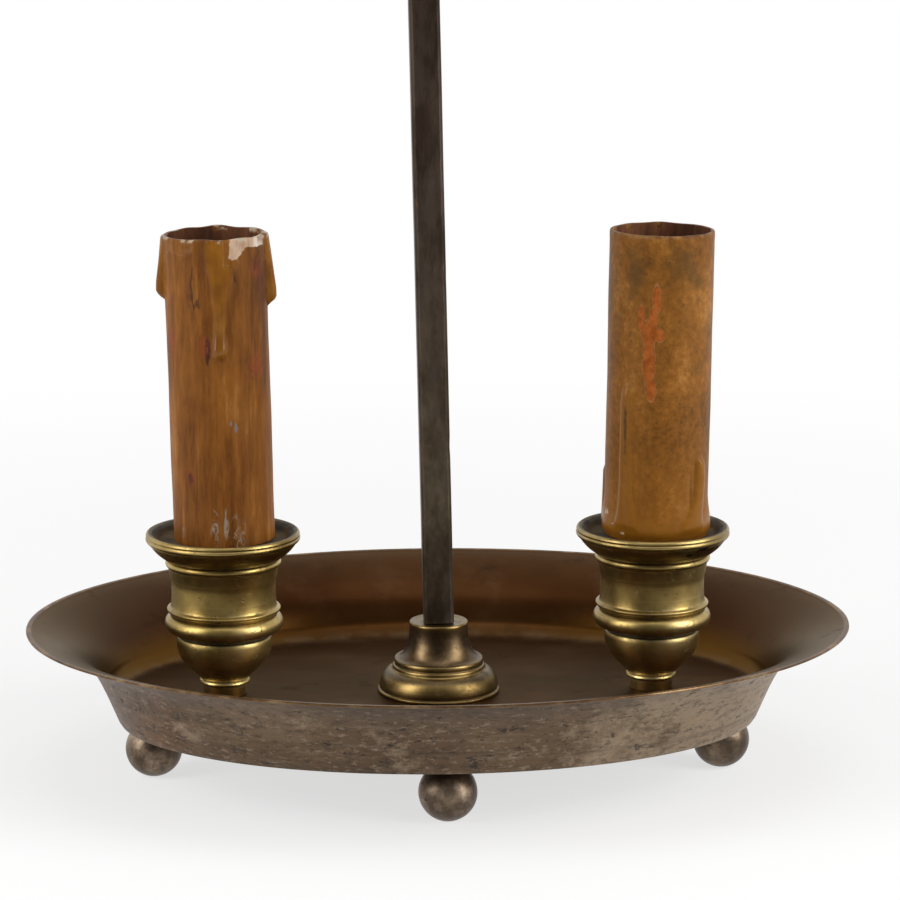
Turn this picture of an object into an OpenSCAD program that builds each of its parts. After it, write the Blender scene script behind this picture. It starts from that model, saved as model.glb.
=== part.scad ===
// Two-light bouillotte lamp: an oval flared tray on ball feet, a square stem
// with a sliding oval shade, and two turned cups that hold candle sleeves over
// bayonet lampholders. Millimetres, +Z up, origin on the table under the tray.

/* [Tray] */
// Length of the tray over its rim
tray_l = 270; // [240:1:320]
// Width of the tray over its rim
tray_w = 205.6; // [190:0.2:240]
// Height of the tray from its foot edge to its rim
tray_h = 31.9; // [26:0.1:40]
// How far the rim stands out past the foot edge at each end
flare_end = 30; // [20:0.5:32]
// How far the rim stands out past the foot edge at the front and back
flare_side = 34.4; // [22:0.2:36]
// Share of the flare that the wall leans out evenly; the lip takes the rest
wall_lean = 0.54; // [0.3:0.02:0.9]
// How late the lip turns out: a higher power is a sharper trumpet
lip_power = 4; // [2:1:6]
// Thickness of the wall, measured level
sheet = 1.6; // [1.2:0.1:2.4]
// Height of the floor above the foot edge
floor_rise = 8.6; // [7.6:0.1:11]
// Thickness of the floor
floor_t = 2; // [1.4:0.1:2.6]
// Width of the curve between floor and wall at each end
cove_end = 6; // [4:0.5:9]
// Width of the curve between floor and wall at the front and back
cove_side = 12; // [6:0.5:15]
// Width of the rim under the tray that the bottom plate is let into
skirt_t = 2.5; // [2:0.1:4]
// Thickness of the bottom plate
plate_t = 1.2; // [0.8:0.1:1.6]

/* [Feet] */
// Diameter of a ball foot
foot_d = 18.8; // [14:0.2:26]
// Depth of the worn flat that a ball stands on
foot_flat = 0.3; // [0.2:0.1:0.6]
// Height of the neck over a ball
neck_h = 0.5; // [0.3:0.1:2]
// Diameter of a neck
neck_d = 7; // [6:0.2:9]
// Diameter of a foot's stud
stud_d = 5; // [4:0.5:6]
// Distance from the foot edge to the middle of a foot at the ends
foot_in_end = 11; // [9.5:0.5:16]
// Distance from the foot edge to the middle of a foot at the front and back
foot_in_side = 14.4; // [12:0.2:18]

/* [Cups] */
// Distance from the tray's rim to the middle of each cup
cup_in = 64.6; // [60:0.2:70]
// Height of a cup
cup_h = 54.6; // [50:0.1:64]
// Diameter of a cup's lip
lip_d = 50.4; // [46:0.2:56]
// Diameter of a cup's waist
waist_d = 34.4; // [32:0.2:36]
// Diameter of the heavy ring round a cup
ring_d = 39; // [37:0.2:42]
// Diameter of the bead under the lip
bead_d = 38.8; // [36:0.2:42]
// Diameter of the bowl under the heavy ring
bowl_d = 33; // [30:0.2:35]
// Diameter of the spigot that a cup stands on
spigot_d = 14.2; // [13.6:0.2:18]
// Diameter of the hollow in a cup
hollow_d = 26; // [22:0.5:28]
// Depth of the dish that a sleeve stands in
dish_depth = 2.45; // [1.6:0.05:4]
// Diameter of the dish's flat
dish_d = 41; // [40:0.2:43]

/* [Stem] */
// Height of the turned stem base
base_h = 23.5; // [20:0.5:30]
// Diameter of the stem base over its foot disc
base_d = 40.2; // [34:0.2:46]
// Diameter of its collar
collar_d = 19.2; // [17:0.2:22]
// Width of the stem across its flats
stem_w = 9.8; // [8:0.1:11]
// Width of the bevel on each of its corners
stem_bevel = 1; // [0.5:0.1:1.5]
// Length of the stem between the stem base and the finial
stem_l = 396; // [370:1:420]
// How far the stem leans to the left, in degrees
stem_lean = 1.3; // [0:0.1:1.5]
// Diameter of the threaded tail and of the finial's spigot
tail_d = 6; // [5:0.5:7]
// Height of the finial
finial_h = 30; // [20:1:40]
// Diameter of the finial
finial_d = 17; // [14:0.5:24]

/* [Sleeves and lampholders] */
// Length of a candle sleeve
sleeve_l = 100.4; // [90:0.2:104]
// Diameter of the left sleeve
left_d = 32.8; // [32:0.2:34]
// Diameter of the right sleeve
right_d = 33.8; // [33:0.2:34.6]
// Thickness of a sleeve's card
card_t = 1.3; // [0.8:0.1:1.6]
// How far the left sleeve leans outwards, in degrees
left_lean = 1.2; // [0:0.1:1.2]
// How far the right sleeve leans outwards, in degrees
right_lean = 0.6; // [0:0.1:1]
// How far the left sleeve stands inwards of its cup's centre
left_shift = 0.6; // [0:0.1:1]
// How far the right sleeve stands outwards of its cup's centre
right_shift = 0.9; // [0:0.1:1]
// Diameter of the tube that carries a lampholder
tube_d = 10; // [9:0.5:11]
// Wall of that tube
tube_wall = 1.4; // [1:0.1:1.6]
// Diameter of a lampholder's shell
shell_d = 25.2; // [24.8:0.1:25.6]
// Diameter of its mouth
mouth_d = 22.4; // [22.2:0.1:22.8]
// Height of a lampholder
holder_h = 34; // [30:1:38]
// How far its mouth lies under the sleeve's top
mouth_drop = 7; // [4:0.5:12]
// Depth of the full bore that takes a lamp's cap
mouth_depth = 11; // [9:0.5:11]
// Depth from the mouth to the contact insert
insert_drop = 16; // [14:0.5:18]
// Height of the contact insert
insert_h = 12; // [11:0.5:13]
// Distance between the two contact plungers
plunger_pitch = 8; // [7:0.2:9]
// Diameter of a plunger
plunger_d = 4; // [3:0.2:4.4]
// How far a plunger stands up
plunger_up = 4.5; // [4:0.1:6]
// How far a plunger is pushed in by a lamp
plunger_travel = 3; // [2:0.1:3.2]

/* [Shade] */
// Length of the shade over its lower edge
shade_l = 256; // [240:1:258]
// Width of the shade over its lower edge
shade_w = 170; // [150:1:190]
// Length of the shade over its upper edge
shade_top_l = 203; // [202:1:220]
// Width of the shade over its upper edge
shade_top_w = 112; // [100:1:130]
// Height of the shade
shade_h = 125; // [100:1:150]
// Thickness of its sheet
shade_t = 0.8; // [0.6:0.1:1.2]
// Height of its lower edge above the stem base
shade_low = 221; // [219:1:230]
// Height of a trim band
trim_h = 4; // [2.5:0.5:6]
// Thickness of a trim band
trim_t = 1.2; // [0.8:0.1:2]
// Diameter of the carrier that slides on the stem
carrier_d = 19; // [18:0.5:22]
// Height of the carrier
carrier_h = 20; // [18:1:26]
// Diameter of the thumbscrew's shank
screw_d = 4; // [3:0.5:5]
// Angle of the spider's arms from the long axis
arm_angle = 62; // [58:1:72]
// Width of a spider arm
arm_w = 6; // [4:0.5:8]

/* [Wiring] */
// Diameter of an insulated wire
wire_d = 1.6; // [1.2:0.1:1.8]
// Diameter of the bore in the cord's inlet bush
inlet_d = 4; // [3:0.2:4.4]

/* [Hidden] */
$fn = 64;

// Sides of an oval, and rings up a wall
oval_n = 72;
wall_n = 9;
cove_n = 4;
// Gap round a screwed or sliding piece, and between pieces that move apart
fit = 0.05;
gap = 0.3;
// How much wider a plain hole is than the stud, tube or wire in it
hole = 0.4;
// Overlap that lets one cut break through a face, and a cut long enough for any wall here
cut = 1;
through = 20;

// Half lengths and half widths of the tray's ovals: rim, foot edge and floor
rim = [tray_l / 2, tray_w / 2];
edge = rim - [flare_end, flare_side];
foot_x = edge.x - foot_in_end;
foot_y = edge.y - foot_in_side;
cup_x = rim.x - cup_in;
foot_r = foot_d / 2;
edge_z = foot_d - foot_flat + neck_h;
rim_z = edge_z + tray_h;
floor_z = edge_z + floor_rise;
under_z = floor_z - floor_t;
plate_top = edge_z + plate_t;
recess = edge - [skirt_t, skirt_t];
lip_round = 0.5;
// Share of the tray's height where the inner wall turns into the cove
cove_top = 0.42;
// How deep a foot's neck is sunk in its ball, and metal left over the end of its stud
neck_sink = 1.2;
stud_cover = 0.2;
stud_slack = 1;

// Where pieces stand
seat_z = floor_z + base_h;
dish_z = floor_z + cup_h - dish_depth;
sleeve_top = dish_z + sleeve_l;
mouth_z = sleeve_top - mouth_drop;
holder_z = mouth_z - holder_h;
insert_z = mouth_z - insert_drop - insert_h;
tube_low = plate_top + 2.2;
tail_low = plate_top + 0.6;
cup_floor = 9;
tube_r = tube_d / 2;
tail_r = tail_d / 2;

// Nuts and washers of the tubes and of the stem's tail
nut_w = 14;
nut_h = 2.6;
washer_d = 18;
washer_t = 0.6;
stem_nut_w = 11;
stem_nut_h = 3.4;
stem_washer_d = 16;
stem_washer_t = 0.8;

// Lampholder: how far the tube stands up in it, and its slots for a lamp's pins
tube_in = 5;
slot_w = 2.5;
slot_h = 7;
slot_hook = 3.6;
// How much narrower the shell is round the insert
insert_step = 0.3;
// Insert: face over the plungers' heads, heads, and room for a pressed spring
face_t = 3;
head_h = 1.6;
head_grow = 0.8;
spring_room = 2.4;
well_low = insert_h - face_t - head_h - plunger_travel - spring_room;
well_grow = 1.4;

// Wires and their connector: distance between two wires, their row, and the connector's half sizes
wire_pitch = 2.4;
row_y = 34;
block_x = 9;
block_y = 6;

// The shade, measured along the stem from the stem base
shade_low_oval = [shade_l / 2, shade_w / 2];
shade_top_oval = [shade_top_l / 2, shade_top_w / 2];
shade_top = shade_low + shade_h;
spider_t = 2;
spider_low = shade_top - 8;
flange_t = 3;
flange_d = carrier_d + 7;
carrier_low = spider_low - flange_t;
screw_h = carrier_low + carrier_h - 6;
boss_reach = 16;
// Thumbscrew: collar, and two lobes on a web
screw_out = 3;
collar_t = 1.8;
lobe_r = 4.2;
lobe_x = 4.6;
lobe_t = 2.4;
lobe_out = 7.5;
web_w = 6;

brass = "#8a6f32";
silvered = "#8d7b6d";
copper = "#6a4534";
steel = "#9a9a98";
wax = "#b07a35";
porcelain = "#e6e2d6";
tole = "#23382f";
gilt = "#b08d3c";

// Points of an oval
function oval(half) = [for (i = [0:oval_n - 1]) [half.x * cos(i * 360 / oval_n), half.y * sin(i * 360 / oval_n)]];
// Share of the flare at share h of the tray's height
function flare(h) = wall_lean * h + (1 - wall_lean) * pow(h, lip_power);
// Half sizes of the wall's outside at share h of the height
function wall_at(h) = edge + [flare_end, flare_side] * flare(h);

// Solid between a stack of ovals, each given as [half sizes, z]
module oval_stack(rings) {
  n = oval_n;
  last = len(rings) - 1;
  points = [for (ring = rings) for (p = oval(ring[0])) [p.x, p.y, ring[1]]];
  sides = [
    for (k = [0:last - 1]) for (i = [0:n - 1])
      each [[k * n + i, (k + 1) * n + i, k * n + (i + 1) % n],
            [k * n + (i + 1) % n, (k + 1) * n + i, (k + 1) * n + (i + 1) % n]]
  ];
  caps = [[for (i = [0:n - 1]) i], [for (i = [0:n - 1]) last * n + n - 1 - i]];
  polyhedron(points, concat(sides, caps));
}

// Wall of a tapering oval shell, from low to high
module oval_shell(low, high, h, t) {
  n = oval_n;
  wall = [t, t];
  rings = [[low, 0], [high, h], [high - wall, h], [low - wall, 0]];
  points = [for (ring = rings) for (p = oval(ring[0])) [p.x, p.y, ring[1]]];
  sides = [
    for (k = [0:3]) for (i = [0:n - 1])
      let (a = k * n, b = ((k + 1) % 4) * n, j = (i + 1) % n)
        each [[a + i, b + i, a + j], [a + j, b + i, b + j]]
  ];
  polyhedron(points, sides);
}

module oval_prism(half, h) linear_extrude(h) polygon(oval(half));

// Copies for the two cups
module each_cup() for (side = [-1, 1]) translate([side * cup_x, 0, 0]) children();

// Places of the four feet
module each_foot() {
  for (side = [-1, 1]) {
    translate([side * foot_x, 0, 0]) children();
    translate([0, side * foot_y, 0]) children();
  }
}

// Frame of the stem: zero is the top of the stem base, and Z runs up the leaning bar
module on_stem(h = 0) translate([0, 0, seat_z]) rotate([0, -stem_lean, 0]) translate([0, 0, h]) children();

module hex_nut(across, bore, h) {
  difference() {
    cylinder(h = h, d = across / cos(30), $fn = 6);
    translate([0, 0, -cut]) cylinder(h = h + 2 * cut, d = bore);
  }
}

module washer(outer, bore, t) {
  difference() {
    cylinder(h = t, d = outer);
    translate([0, 0, -cut]) cylinder(h = t + 2 * cut, d = bore);
  }
}

// Inlet bush: height, the wall's half width there, and how far it stands in and out
inlet_z = (plate_top + under_z) / 2 + 0.6;
inlet_y = wall_at((inlet_z - edge_z) / tray_h).y;
bush_d = inlet_d + 2;
bush_in = 1.5;
bush_out = 2.9;

module tray() color(silvered) {
  wall_t = [sheet, sheet];
  cove = [cove_end, cove_side];
  outside = [for (i = [0:wall_n]) let (h = i / wall_n) [wall_at(h), edge_z + h * tray_h - (i == wall_n ? lip_round : 0)]];
  inside = [
    for (i = [wall_n:-1:0]) let (h = cove_top + (1 - cove_top) * i / wall_n)
      [wall_at(h) - wall_t, edge_z + h * tray_h - (i == wall_n ? lip_round : 0)]
  ];
  top_z = edge_z + cove_top * tray_h;
  cove_rings = [
    for (i = [1:cove_n]) let (turn = 90 * i / cove_n)
      [wall_at(cove_top) - wall_t - cove * (1 - cos(turn)), top_z - (top_z - floor_z) * sin(turn)]
  ];
  difference() {
    union() {
      difference() {
        oval_stack(concat(
          [[edge - [lip_round, lip_round] * 2, edge_z]],
          [[edge - [lip_round, lip_round] / 3, edge_z + lip_round]],
          [for (i = [1:wall_n]) outside[i]],
          [[rim - [lip_round, lip_round], rim_z], [rim - wall_t + [lip_round, lip_round], rim_z]],
          inside, cove_rings
        ));
        translate([0, 0, edge_z - cut]) oval_prism(recess, floor_rise - floor_t + cut);
      }
      each_foot() translate([0, 0, plate_top]) cylinder(h = under_z - plate_top + cut / 2, d = 2 * stud_d);
    }
    each_foot() translate([0, 0, plate_top - cut]) cylinder(h = under_z - plate_top + cut - stud_cover, d = stud_d + 2 * fit);
    translate([0, 0, under_z - cut]) cylinder(h = floor_t + 2 * cut, d = tail_d + hole);
    each_cup() translate([0, 0, under_z - cut]) cylinder(h = floor_t + 2 * cut, d = tube_d + hole);
    translate([0, recess.y - 2 * bush_in, inlet_z]) rotate([-90, 0, 0]) cylinder(h = through, d = bush_d + 2 * fit);
  }
}

module bottom_plate() color(silvered) {
  difference() {
    translate([0, 0, edge_z]) oval_prism(recess - [gap, gap] / 2, plate_t);
    each_foot() translate([0, 0, edge_z - cut]) cylinder(h = plate_t + 2 * cut, d = stud_d + hole);
  }
}

module ball_feet() color(silvered) each_foot() {
  intersection() {
    translate([0, 0, foot_r - foot_flat]) sphere(d = foot_d);
    cylinder(h = edge_z, d = foot_d + cut);
  }
  translate([0, 0, edge_z - neck_h - neck_sink]) cylinder(h = neck_h + neck_sink, d = neck_d);
  translate([0, 0, edge_z - cut]) cylinder(h = under_z - edge_z + cut - stud_slack, d = stud_d);
}

// Outline of the turned stem base: disc, dome, two fillets, bell and collar
module base_outline() {
  r = base_d / 2;
  c = collar_d / 2;
  bell = 14.5;
  polygon(concat(
    [[tail_r + 0.1, 0], [r, 0], [r, 0.9]],
    [for (a = [0:15:90]) [r - 0.5 - (r - 15.9) * (1 - cos(a)), 1.2 + 6.3 * sin(a)]],
    [[15.1, 7.9], [15.1, 8.8], [14.6, 9.2], [bell, 9.6], [bell, 11.1]],
    [for (a = [0:15:90]) [bell - 0.6 - (bell - 0.6 - c) * sin(a), base_h - 1.4 - (base_h - 12.6) * cos(a)]],
    [[c, base_h - 0.6], [c - 0.4, base_h], [tail_r + 0.1, base_h]]
  ));
}

module stem_base() color(brass) translate([0, 0, floor_z]) rotate_extrude($fn = 96) base_outline();

// Section of the stem, a square with bevelled corners, grown by extra on each side
module stem_section(extra = 0) {
  h = stem_w / 2 + extra;
  b = h - stem_bevel;
  polygon([[h, -b], [h, b], [b, h], [-b, h], [-h, b], [-h, -b], [-b, -h], [b, -h]]);
}

module stem() color(copper) {
  difference() {
    on_stem(-cut) linear_extrude(stem_l + cut) stem_section();
    translate([-stem_w, -stem_w, seat_z - 2 * cut]) cube([2 * stem_w, 2 * stem_w, 2 * cut]);
  }
  on_stem(stem_l - cut) cylinder(h = finial_h / 2 + cut, d = tail_d);
  translate([0, 0, tail_low]) cylinder(h = seat_z - tail_low + cut, d = tail_d);
}

module stem_washer() color(steel) translate([0, 0, under_z - stem_washer_t]) washer(stem_washer_d, tail_d + hole, stem_washer_t);

module stem_nut() color(steel) {
  translate([0, 0, under_z - stem_washer_t - stem_nut_h]) hex_nut(stem_nut_w, tail_d + 2 * fit, stem_nut_h);
}

module finial() color(brass) on_stem(stem_l) difference() {
  r = finial_d / 2;
  rotate_extrude() polygon(concat(
    [[0, 0], [r - 1, 0], [r - 1, 2], [r - 3.5, 3.2], [3.8, 6]],
    [for (a = [-60:15:75]) [r * cos(a), 0.56 * finial_h + (0.35 * finial_h) * sin(a)]],
    [[2, 0.93 * finial_h], [2.2, 0.96 * finial_h], [1.2, finial_h], [0, finial_h]]
  ));
  translate([0, 0, -cut]) cylinder(h = finial_h / 2 + 0.5 + cut, d = tail_d + 2 * fit);
}

// Outline of a turned cup: spigot, bowl, heavy ring, fillet, waist, bead, flared lip, dish and hollow
module cup_outline() {
  s = spigot_d / 2;
  bowl = bowl_d / 2;
  ring = ring_d / 2;
  waist = waist_d / 2;
  bead = bead_d / 2;
  lip = lip_d / 2;
  inner = hollow_d / 2;
  bore = tube_r + fit;
  ring_z = 25.2;
  ring_t = 2.9;
  bead_z = cup_h - 11.8;
  bead_t = 1.4;
  scoop = [bead + 0.1, bead_z + 1.6];
  scoop_rise = [lip - 0.9, cup_h - 3.6] - scoop;
  bulge = 0.25;
  polygon(concat(
    [[bore, 0], [s, 0], [s, 3.6], [s + 1.2, 4], [s + 1.2, 5], [s + 0.5, 5.4]],
    [for (a = [-60:10:0]) [s + 1 + (bowl - s - 1) * cos(a), 17.8 + 13.6 * sin(a)]],
    [[bowl - 0.2, 21.4], [ring - ring_t, 22.3]],
    [for (a = [-75:15:75]) [ring - ring_t + ring_t * cos(a), ring_z + ring_t * sin(a)]],
    [[waist + 0.5, ring_z + 3.2], [ring - 0.9, ring_z + 4.1], [ring - 0.9, ring_z + 5], [waist + 0.2, ring_z + 5.6]],
    [[waist, ring_z + 7], [waist - 0.2, (ring_z + 7 + bead_z) / 2], [waist, bead_z - 2.6], [waist + 0.6, bead_z - 1.7]],
    [for (a = [-75:15:75]) [bead - bead_t + bead_t * cos(a), bead_z + bead_t * sin(a)]],
    [for (t = [0:0.2:1]) scoop + scoop_rise * t + [bulge, -bulge] * sin(180 * t)],
    [[lip - 1, cup_h - 3.2], [lip - 0.4, cup_h - 2.9], [lip, cup_h - 0.8], [lip - 0.3, cup_h - 0.2], [lip - 0.8, cup_h]],
    [[dish_d / 2 + 1.4, cup_h - 1], [dish_d / 2, cup_h - dish_depth], [inner, cup_h - dish_depth]],
    [[inner, 22], [inner - 2, 15], [inner - 4, cup_floor], [bore, cup_floor]]
  ));
}

module cup(side) color(brass) translate([side * cup_x, 0, floor_z]) rotate_extrude($fn = 96) cup_outline();

module cup_left() cup(-1);
module cup_right() cup(1);

// Threaded tube from under the tray up to a lampholder
module lamp_tube(side) color(steel) translate([side * cup_x, 0, tube_low]) difference() {
  h = holder_z + tube_in - tube_low;
  cylinder(h = h, d = tube_d);
  translate([0, 0, -cut]) cylinder(h = h + 2 * cut, d = tube_d - 2 * tube_wall);
}

module tube_left() lamp_tube(-1);
module tube_right() lamp_tube(1);

module tube_nuts() color(steel) each_cup() {
  translate([0, 0, under_z - washer_t - nut_h]) hex_nut(nut_w, tube_d + 2 * fit, nut_h);
  translate([0, 0, floor_z + cup_floor]) hex_nut(nut_w, tube_d + 2 * fit, nut_h);
}

module tube_washers() color(steel) each_cup() {
  translate([0, 0, under_z - washer_t]) washer(washer_d, tube_d + hole, washer_t);
}

// Brass lampholder shell with two hooked slots for the pins of a bayonet lamp
module holder(side) color(brass) translate([side * cup_x, 0, holder_z]) difference() {
  r = shell_d / 2;
  bore = mouth_d / 2;
  step = insert_step;
  rotate_extrude() polygon([
    [tube_r + fit, 0], [tube_r + 2, 0], [tube_r + 2, 3], [r - 1.5, tube_in], [r, tube_in + 1.5], [r, holder_h - 1],
    [r - 0.4, holder_h], [bore, holder_h], [bore, holder_h - mouth_depth], [bore - step, holder_h - mouth_depth],
    [bore - step, insert_z - holder_z], [tube_r + fit, insert_z - holder_z]
  ]);
  for (turn = [0, 180]) rotate([0, 0, turn]) translate([r - 3, -slot_w / 2, holder_h - slot_h]) {
    cube([6, slot_w, slot_h + cut]);
    cube([6, 2.4 * slot_w, slot_w]);
    translate([0, 1.4 * slot_w, 0]) cube([6, slot_w, slot_hook]);
  }
}

module holder_left() holder(-1);
module holder_right() holder(1);

// Porcelain insert with a stepped hole for each plunger
module insert(side) color(porcelain) translate([side * cup_x, 0, insert_z]) difference() {
  cylinder(h = insert_h, d = mouth_d - 2 * insert_step - 2 * fit);
  for (end = [-1, 1]) translate([0, end * plunger_pitch / 2, 0]) {
    translate([0, 0, insert_h - face_t - cut]) cylinder(h = face_t + 2 * cut, d = plunger_d + 2 * fit);
    translate([0, 0, well_low]) cylinder(h = insert_h - face_t - well_low, d = plunger_d + well_grow);
    translate([0, 0, -cut]) cylinder(h = well_low + 2 * cut, d = wire_d + hole);
  }
}

module insert_left() insert(-1);
module insert_right() insert(1);

// Sprung contact: a pin with a head that stops under the insert's face
module plunger(side, end) color(brass) {
  tip_h = 1;
  shank_h = head_h + face_t + plunger_up - tip_h;
  translate([side * cup_x, end * plunger_pitch / 2, insert_z + insert_h - face_t - head_h]) {
    cylinder(h = head_h, d = plunger_d + head_grow);
    cylinder(h = shank_h, d = plunger_d);
    translate([0, 0, shank_h]) cylinder(h = tip_h, r1 = plunger_d / 2, r2 = plunger_d / 2 - 0.7);
  }
}

module plunger_left_front() plunger(-1, -1);
module plunger_left_back() plunger(-1, 1);
module plunger_right_front() plunger(1, -1);
module plunger_right_back() plunger(1, 1);

// Run of wax down the outside of a sleeve of radius r, a fat bead below a thinner neck
module wax_run(r, angle, high, low, top_r, drop_r, stand) {
  rotate([0, 0, angle]) hull() {
    translate([r + stand - top_r, 0, high - top_r]) sphere(r = top_r, $fn = 16);
    translate([r + stand - drop_r, 0, low + drop_r]) sphere(r = drop_r, $fn = 16);
  }
}

// Card tube of a candle sleeve, leaning on its lampholder
module sleeve(side, d, lean, shift) {
  lift = tan(lean) * d / 2;
  translate([side * cup_x + shift, 0, dish_z + lift]) rotate([0, side * lean, 0]) difference() {
    union() {
      cylinder(h = sleeve_l, d = d, $fn = 96);
      children();
    }
    translate([0, 0, -cut]) cylinder(h = sleeve_l + 2 * cut, d = d - 2 * card_t, $fn = 96);
  }
}

module sleeve_left() color(wax) sleeve(-1, left_d, left_lean, left_shift) {
  r = left_d / 2;
  translate([0, 0, sleeve_l - 4]) rotate_extrude($fn = 96) polygon([
    [r - 1, 0], [r, 0], [r + 0.8, 1.4], [r + 1, 3], [r + 0.3, 4.2], [r - 0.9, 4.6], [r - 1, 4.2]
  ]);
  wax_run(r, 183, sleeve_l - 0.4, sleeve_l - 21, 2.2, 1.9, 2.5);
  wax_run(r, -4, sleeve_l - 0.2, sleeve_l - 23.5, 2.4, 2, 2.8);
  wax_run(r, -84, sleeve_l - 1, sleeve_l - 25, 3, 1.6, 1.3);
  wax_run(r, -86, sleeve_l - 24, sleeve_l - 42.5, 1.3, 2.1, 1.4);
}

module sleeve_right() color(wax) sleeve(1, right_d, right_lean, right_shift) {
  r = right_d / 2;
  translate([0, 0, 2]) rotate_extrude($fn = 96) polygon([
    [r - 1, 0], [r - 0.2, 0], [r + 0.9, 1.6], [r + 1.1, 3.4], [r + 0.6, 6], [r, 8.5], [r - 1, 8.5]
  ]);
  wax_run(r, 226, 50, 5, 1.7, 2.6, 1.2);
  wax_run(r, 318, 26, 6, 2, 2.4, 1.3);
}

// Round wire from the connector along X, across to the tube, and up through it
module wire(side, spread) {
  r = wire_d / 2;
  low = plate_top + r + gap;
  bend = 3;
  far_x = cup_x + spread;
  y = row_y + spread;
  end_z = insert_z - gap;
  translate([side * block_x, y, low]) rotate([0, side * 90, 0]) cylinder(h = far_x - bend - block_x, r = r, $fn = 24);
  translate([side * (far_x - bend), y - bend, low]) rotate([0, 0, side > 0 ? 0 : 90])
    rotate_extrude(angle = 90, $fn = 48) translate([bend, 0]) circle(r = r, $fn = 24);
  translate([side * far_x, bend, low]) rotate([-90, 0, 0]) cylinder(h = y - 2 * bend, r = r, $fn = 24);
  translate([side * far_x, bend, low + bend]) rotate([90, 0, -90])
    rotate_extrude(angle = 90, start = 270, $fn = 48) translate([bend, 0]) circle(r = r, $fn = 24);
  translate([side * far_x, 0, low + bend]) cylinder(h = end_z - low - bend, r = r, $fn = 24);
}

module wires(side) color("#3b3029") for (row = [-1, 1]) wire(side, row * wire_pitch / 2);

module wires_left() wires(-1);
module wires_right() wires(1);

// Two-way connector that joins the cord to the wires
module terminal_block() color(porcelain) {
  low = plate_top + gap / 2;
  difference() {
    translate([gap - block_x, row_y - block_y, low]) cube([2 * (block_x - gap), 2 * block_y, under_z - low - gap]);
    for (row = [-1, 1]) translate([-through / 2, row_y + row * wire_pitch / 2, plate_top + wire_d / 2 + gap])
      rotate([0, 90, 0]) cylinder(h = through, d = wire_d - hole / 2, $fn = 24);
  }
}

module inlet_bush() color(brass) translate([0, 0, inlet_z]) rotate([-90, 0, 0]) difference() {
  union() {
    translate([0, 0, recess.y - bush_in]) cylinder(h = inlet_y - recess.y + bush_in + bush_out, d = bush_d);
    translate([0, 0, inlet_y + bush_out - 0.3]) cylinder(h = 1, d = bush_d + 1);
  }
  translate([0, 0, recess.y - bush_in - cut]) cylinder(h = through, d = inlet_d);
}

module shade_carrier() color(brass) on_stem(carrier_low) difference() {
  union() {
    cylinder(h = carrier_h, d = carrier_d);
    cylinder(h = flange_t, d = flange_d);
    translate([0, 0, screw_h - carrier_low]) rotate([90, 0, 0]) cylinder(h = boss_reach, d = 2 * screw_d + 2);
  }
  translate([0, 0, -cut]) linear_extrude(carrier_h + 2 * cut) stem_section(gap);
  translate([0, 0, screw_h - carrier_low]) rotate([90, 0, 0]) cylinder(h = boss_reach + cut, d = screw_d + 2 * fit);
}

module thumbscrew() color(brass) on_stem(screw_h) rotate([90, 0, 0]) {
  tip = stem_w / 2 + gap;
  translate([0, 0, tip]) cylinder(h = boss_reach - tip + screw_out, d = screw_d);
  translate([0, 0, boss_reach + gap]) cylinder(h = collar_t, d = screw_d + 3);
  translate([0, lobe_t / 2, boss_reach + lobe_out]) rotate([90, 0, 0]) linear_extrude(lobe_t) {
    for (lobe = [-1, 1]) translate([lobe * lobe_x, 0]) circle(r = lobe_r);
    translate([-web_w / 2, 1.5 - lobe_out]) square([web_w, lobe_out + 1.5]);
  }
}

// Cut spider: an eye on the carrier and four arms to the shade
module shade_spider() color(gilt) on_stem(spider_low) linear_extrude(spider_t) difference() {
  level = 1 - (shade_top - spider_low - spider_t) / shade_h;
  reach = shade_low_oval + (shade_top_oval - shade_low_oval) * level - [shade_t, shade_t] - [0.2, 0.2];
  intersection() {
    union() {
      circle(d = flange_d + 2);
      for (turn = [arm_angle, 180 - arm_angle, -arm_angle, arm_angle - 180]) rotate([0, 0, turn])
        translate([0, -arm_w / 2]) square([shade_w, arm_w]);
    }
    polygon(oval(reach));
  }
  circle(d = carrier_d + 2 * fit);
}

module shade() color(tole) on_stem(shade_low) oval_shell(shade_low_oval, shade_top_oval, shade_h, shade_t);

// Flat oval band round the shade at height h above its lower edge
module trim_band(h) {
  level = h / shade_h;
  inner = shade_low_oval + (shade_top_oval - shade_low_oval) * level + [0.1, 0.1];
  color(gilt) on_stem(shade_low + h) linear_extrude(trim_h) difference() {
    polygon(oval(inner + [trim_t, trim_t]));
    polygon(oval(inner));
  }
}

module shade_trim_top() trim_band(shade_h - trim_h);
module shade_trim_bottom() trim_band(0);

tray();
bottom_plate();
ball_feet();
stem_base();
stem();
stem_washer();
stem_nut();
finial();
cup_left();
cup_right();
tube_left();
tube_right();
tube_nuts();
tube_washers();
holder_left();
holder_right();
insert_left();
insert_right();
plunger_left_front();
plunger_left_back();
plunger_right_front();
plunger_right_back();
sleeve_left();
sleeve_right();
wires_left();
wires_right();
terminal_block();
inlet_bush();
shade_carrier();
thumbscrew();
shade_spider();
shade();
shade_trim_top();
shade_trim_bottom();
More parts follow.
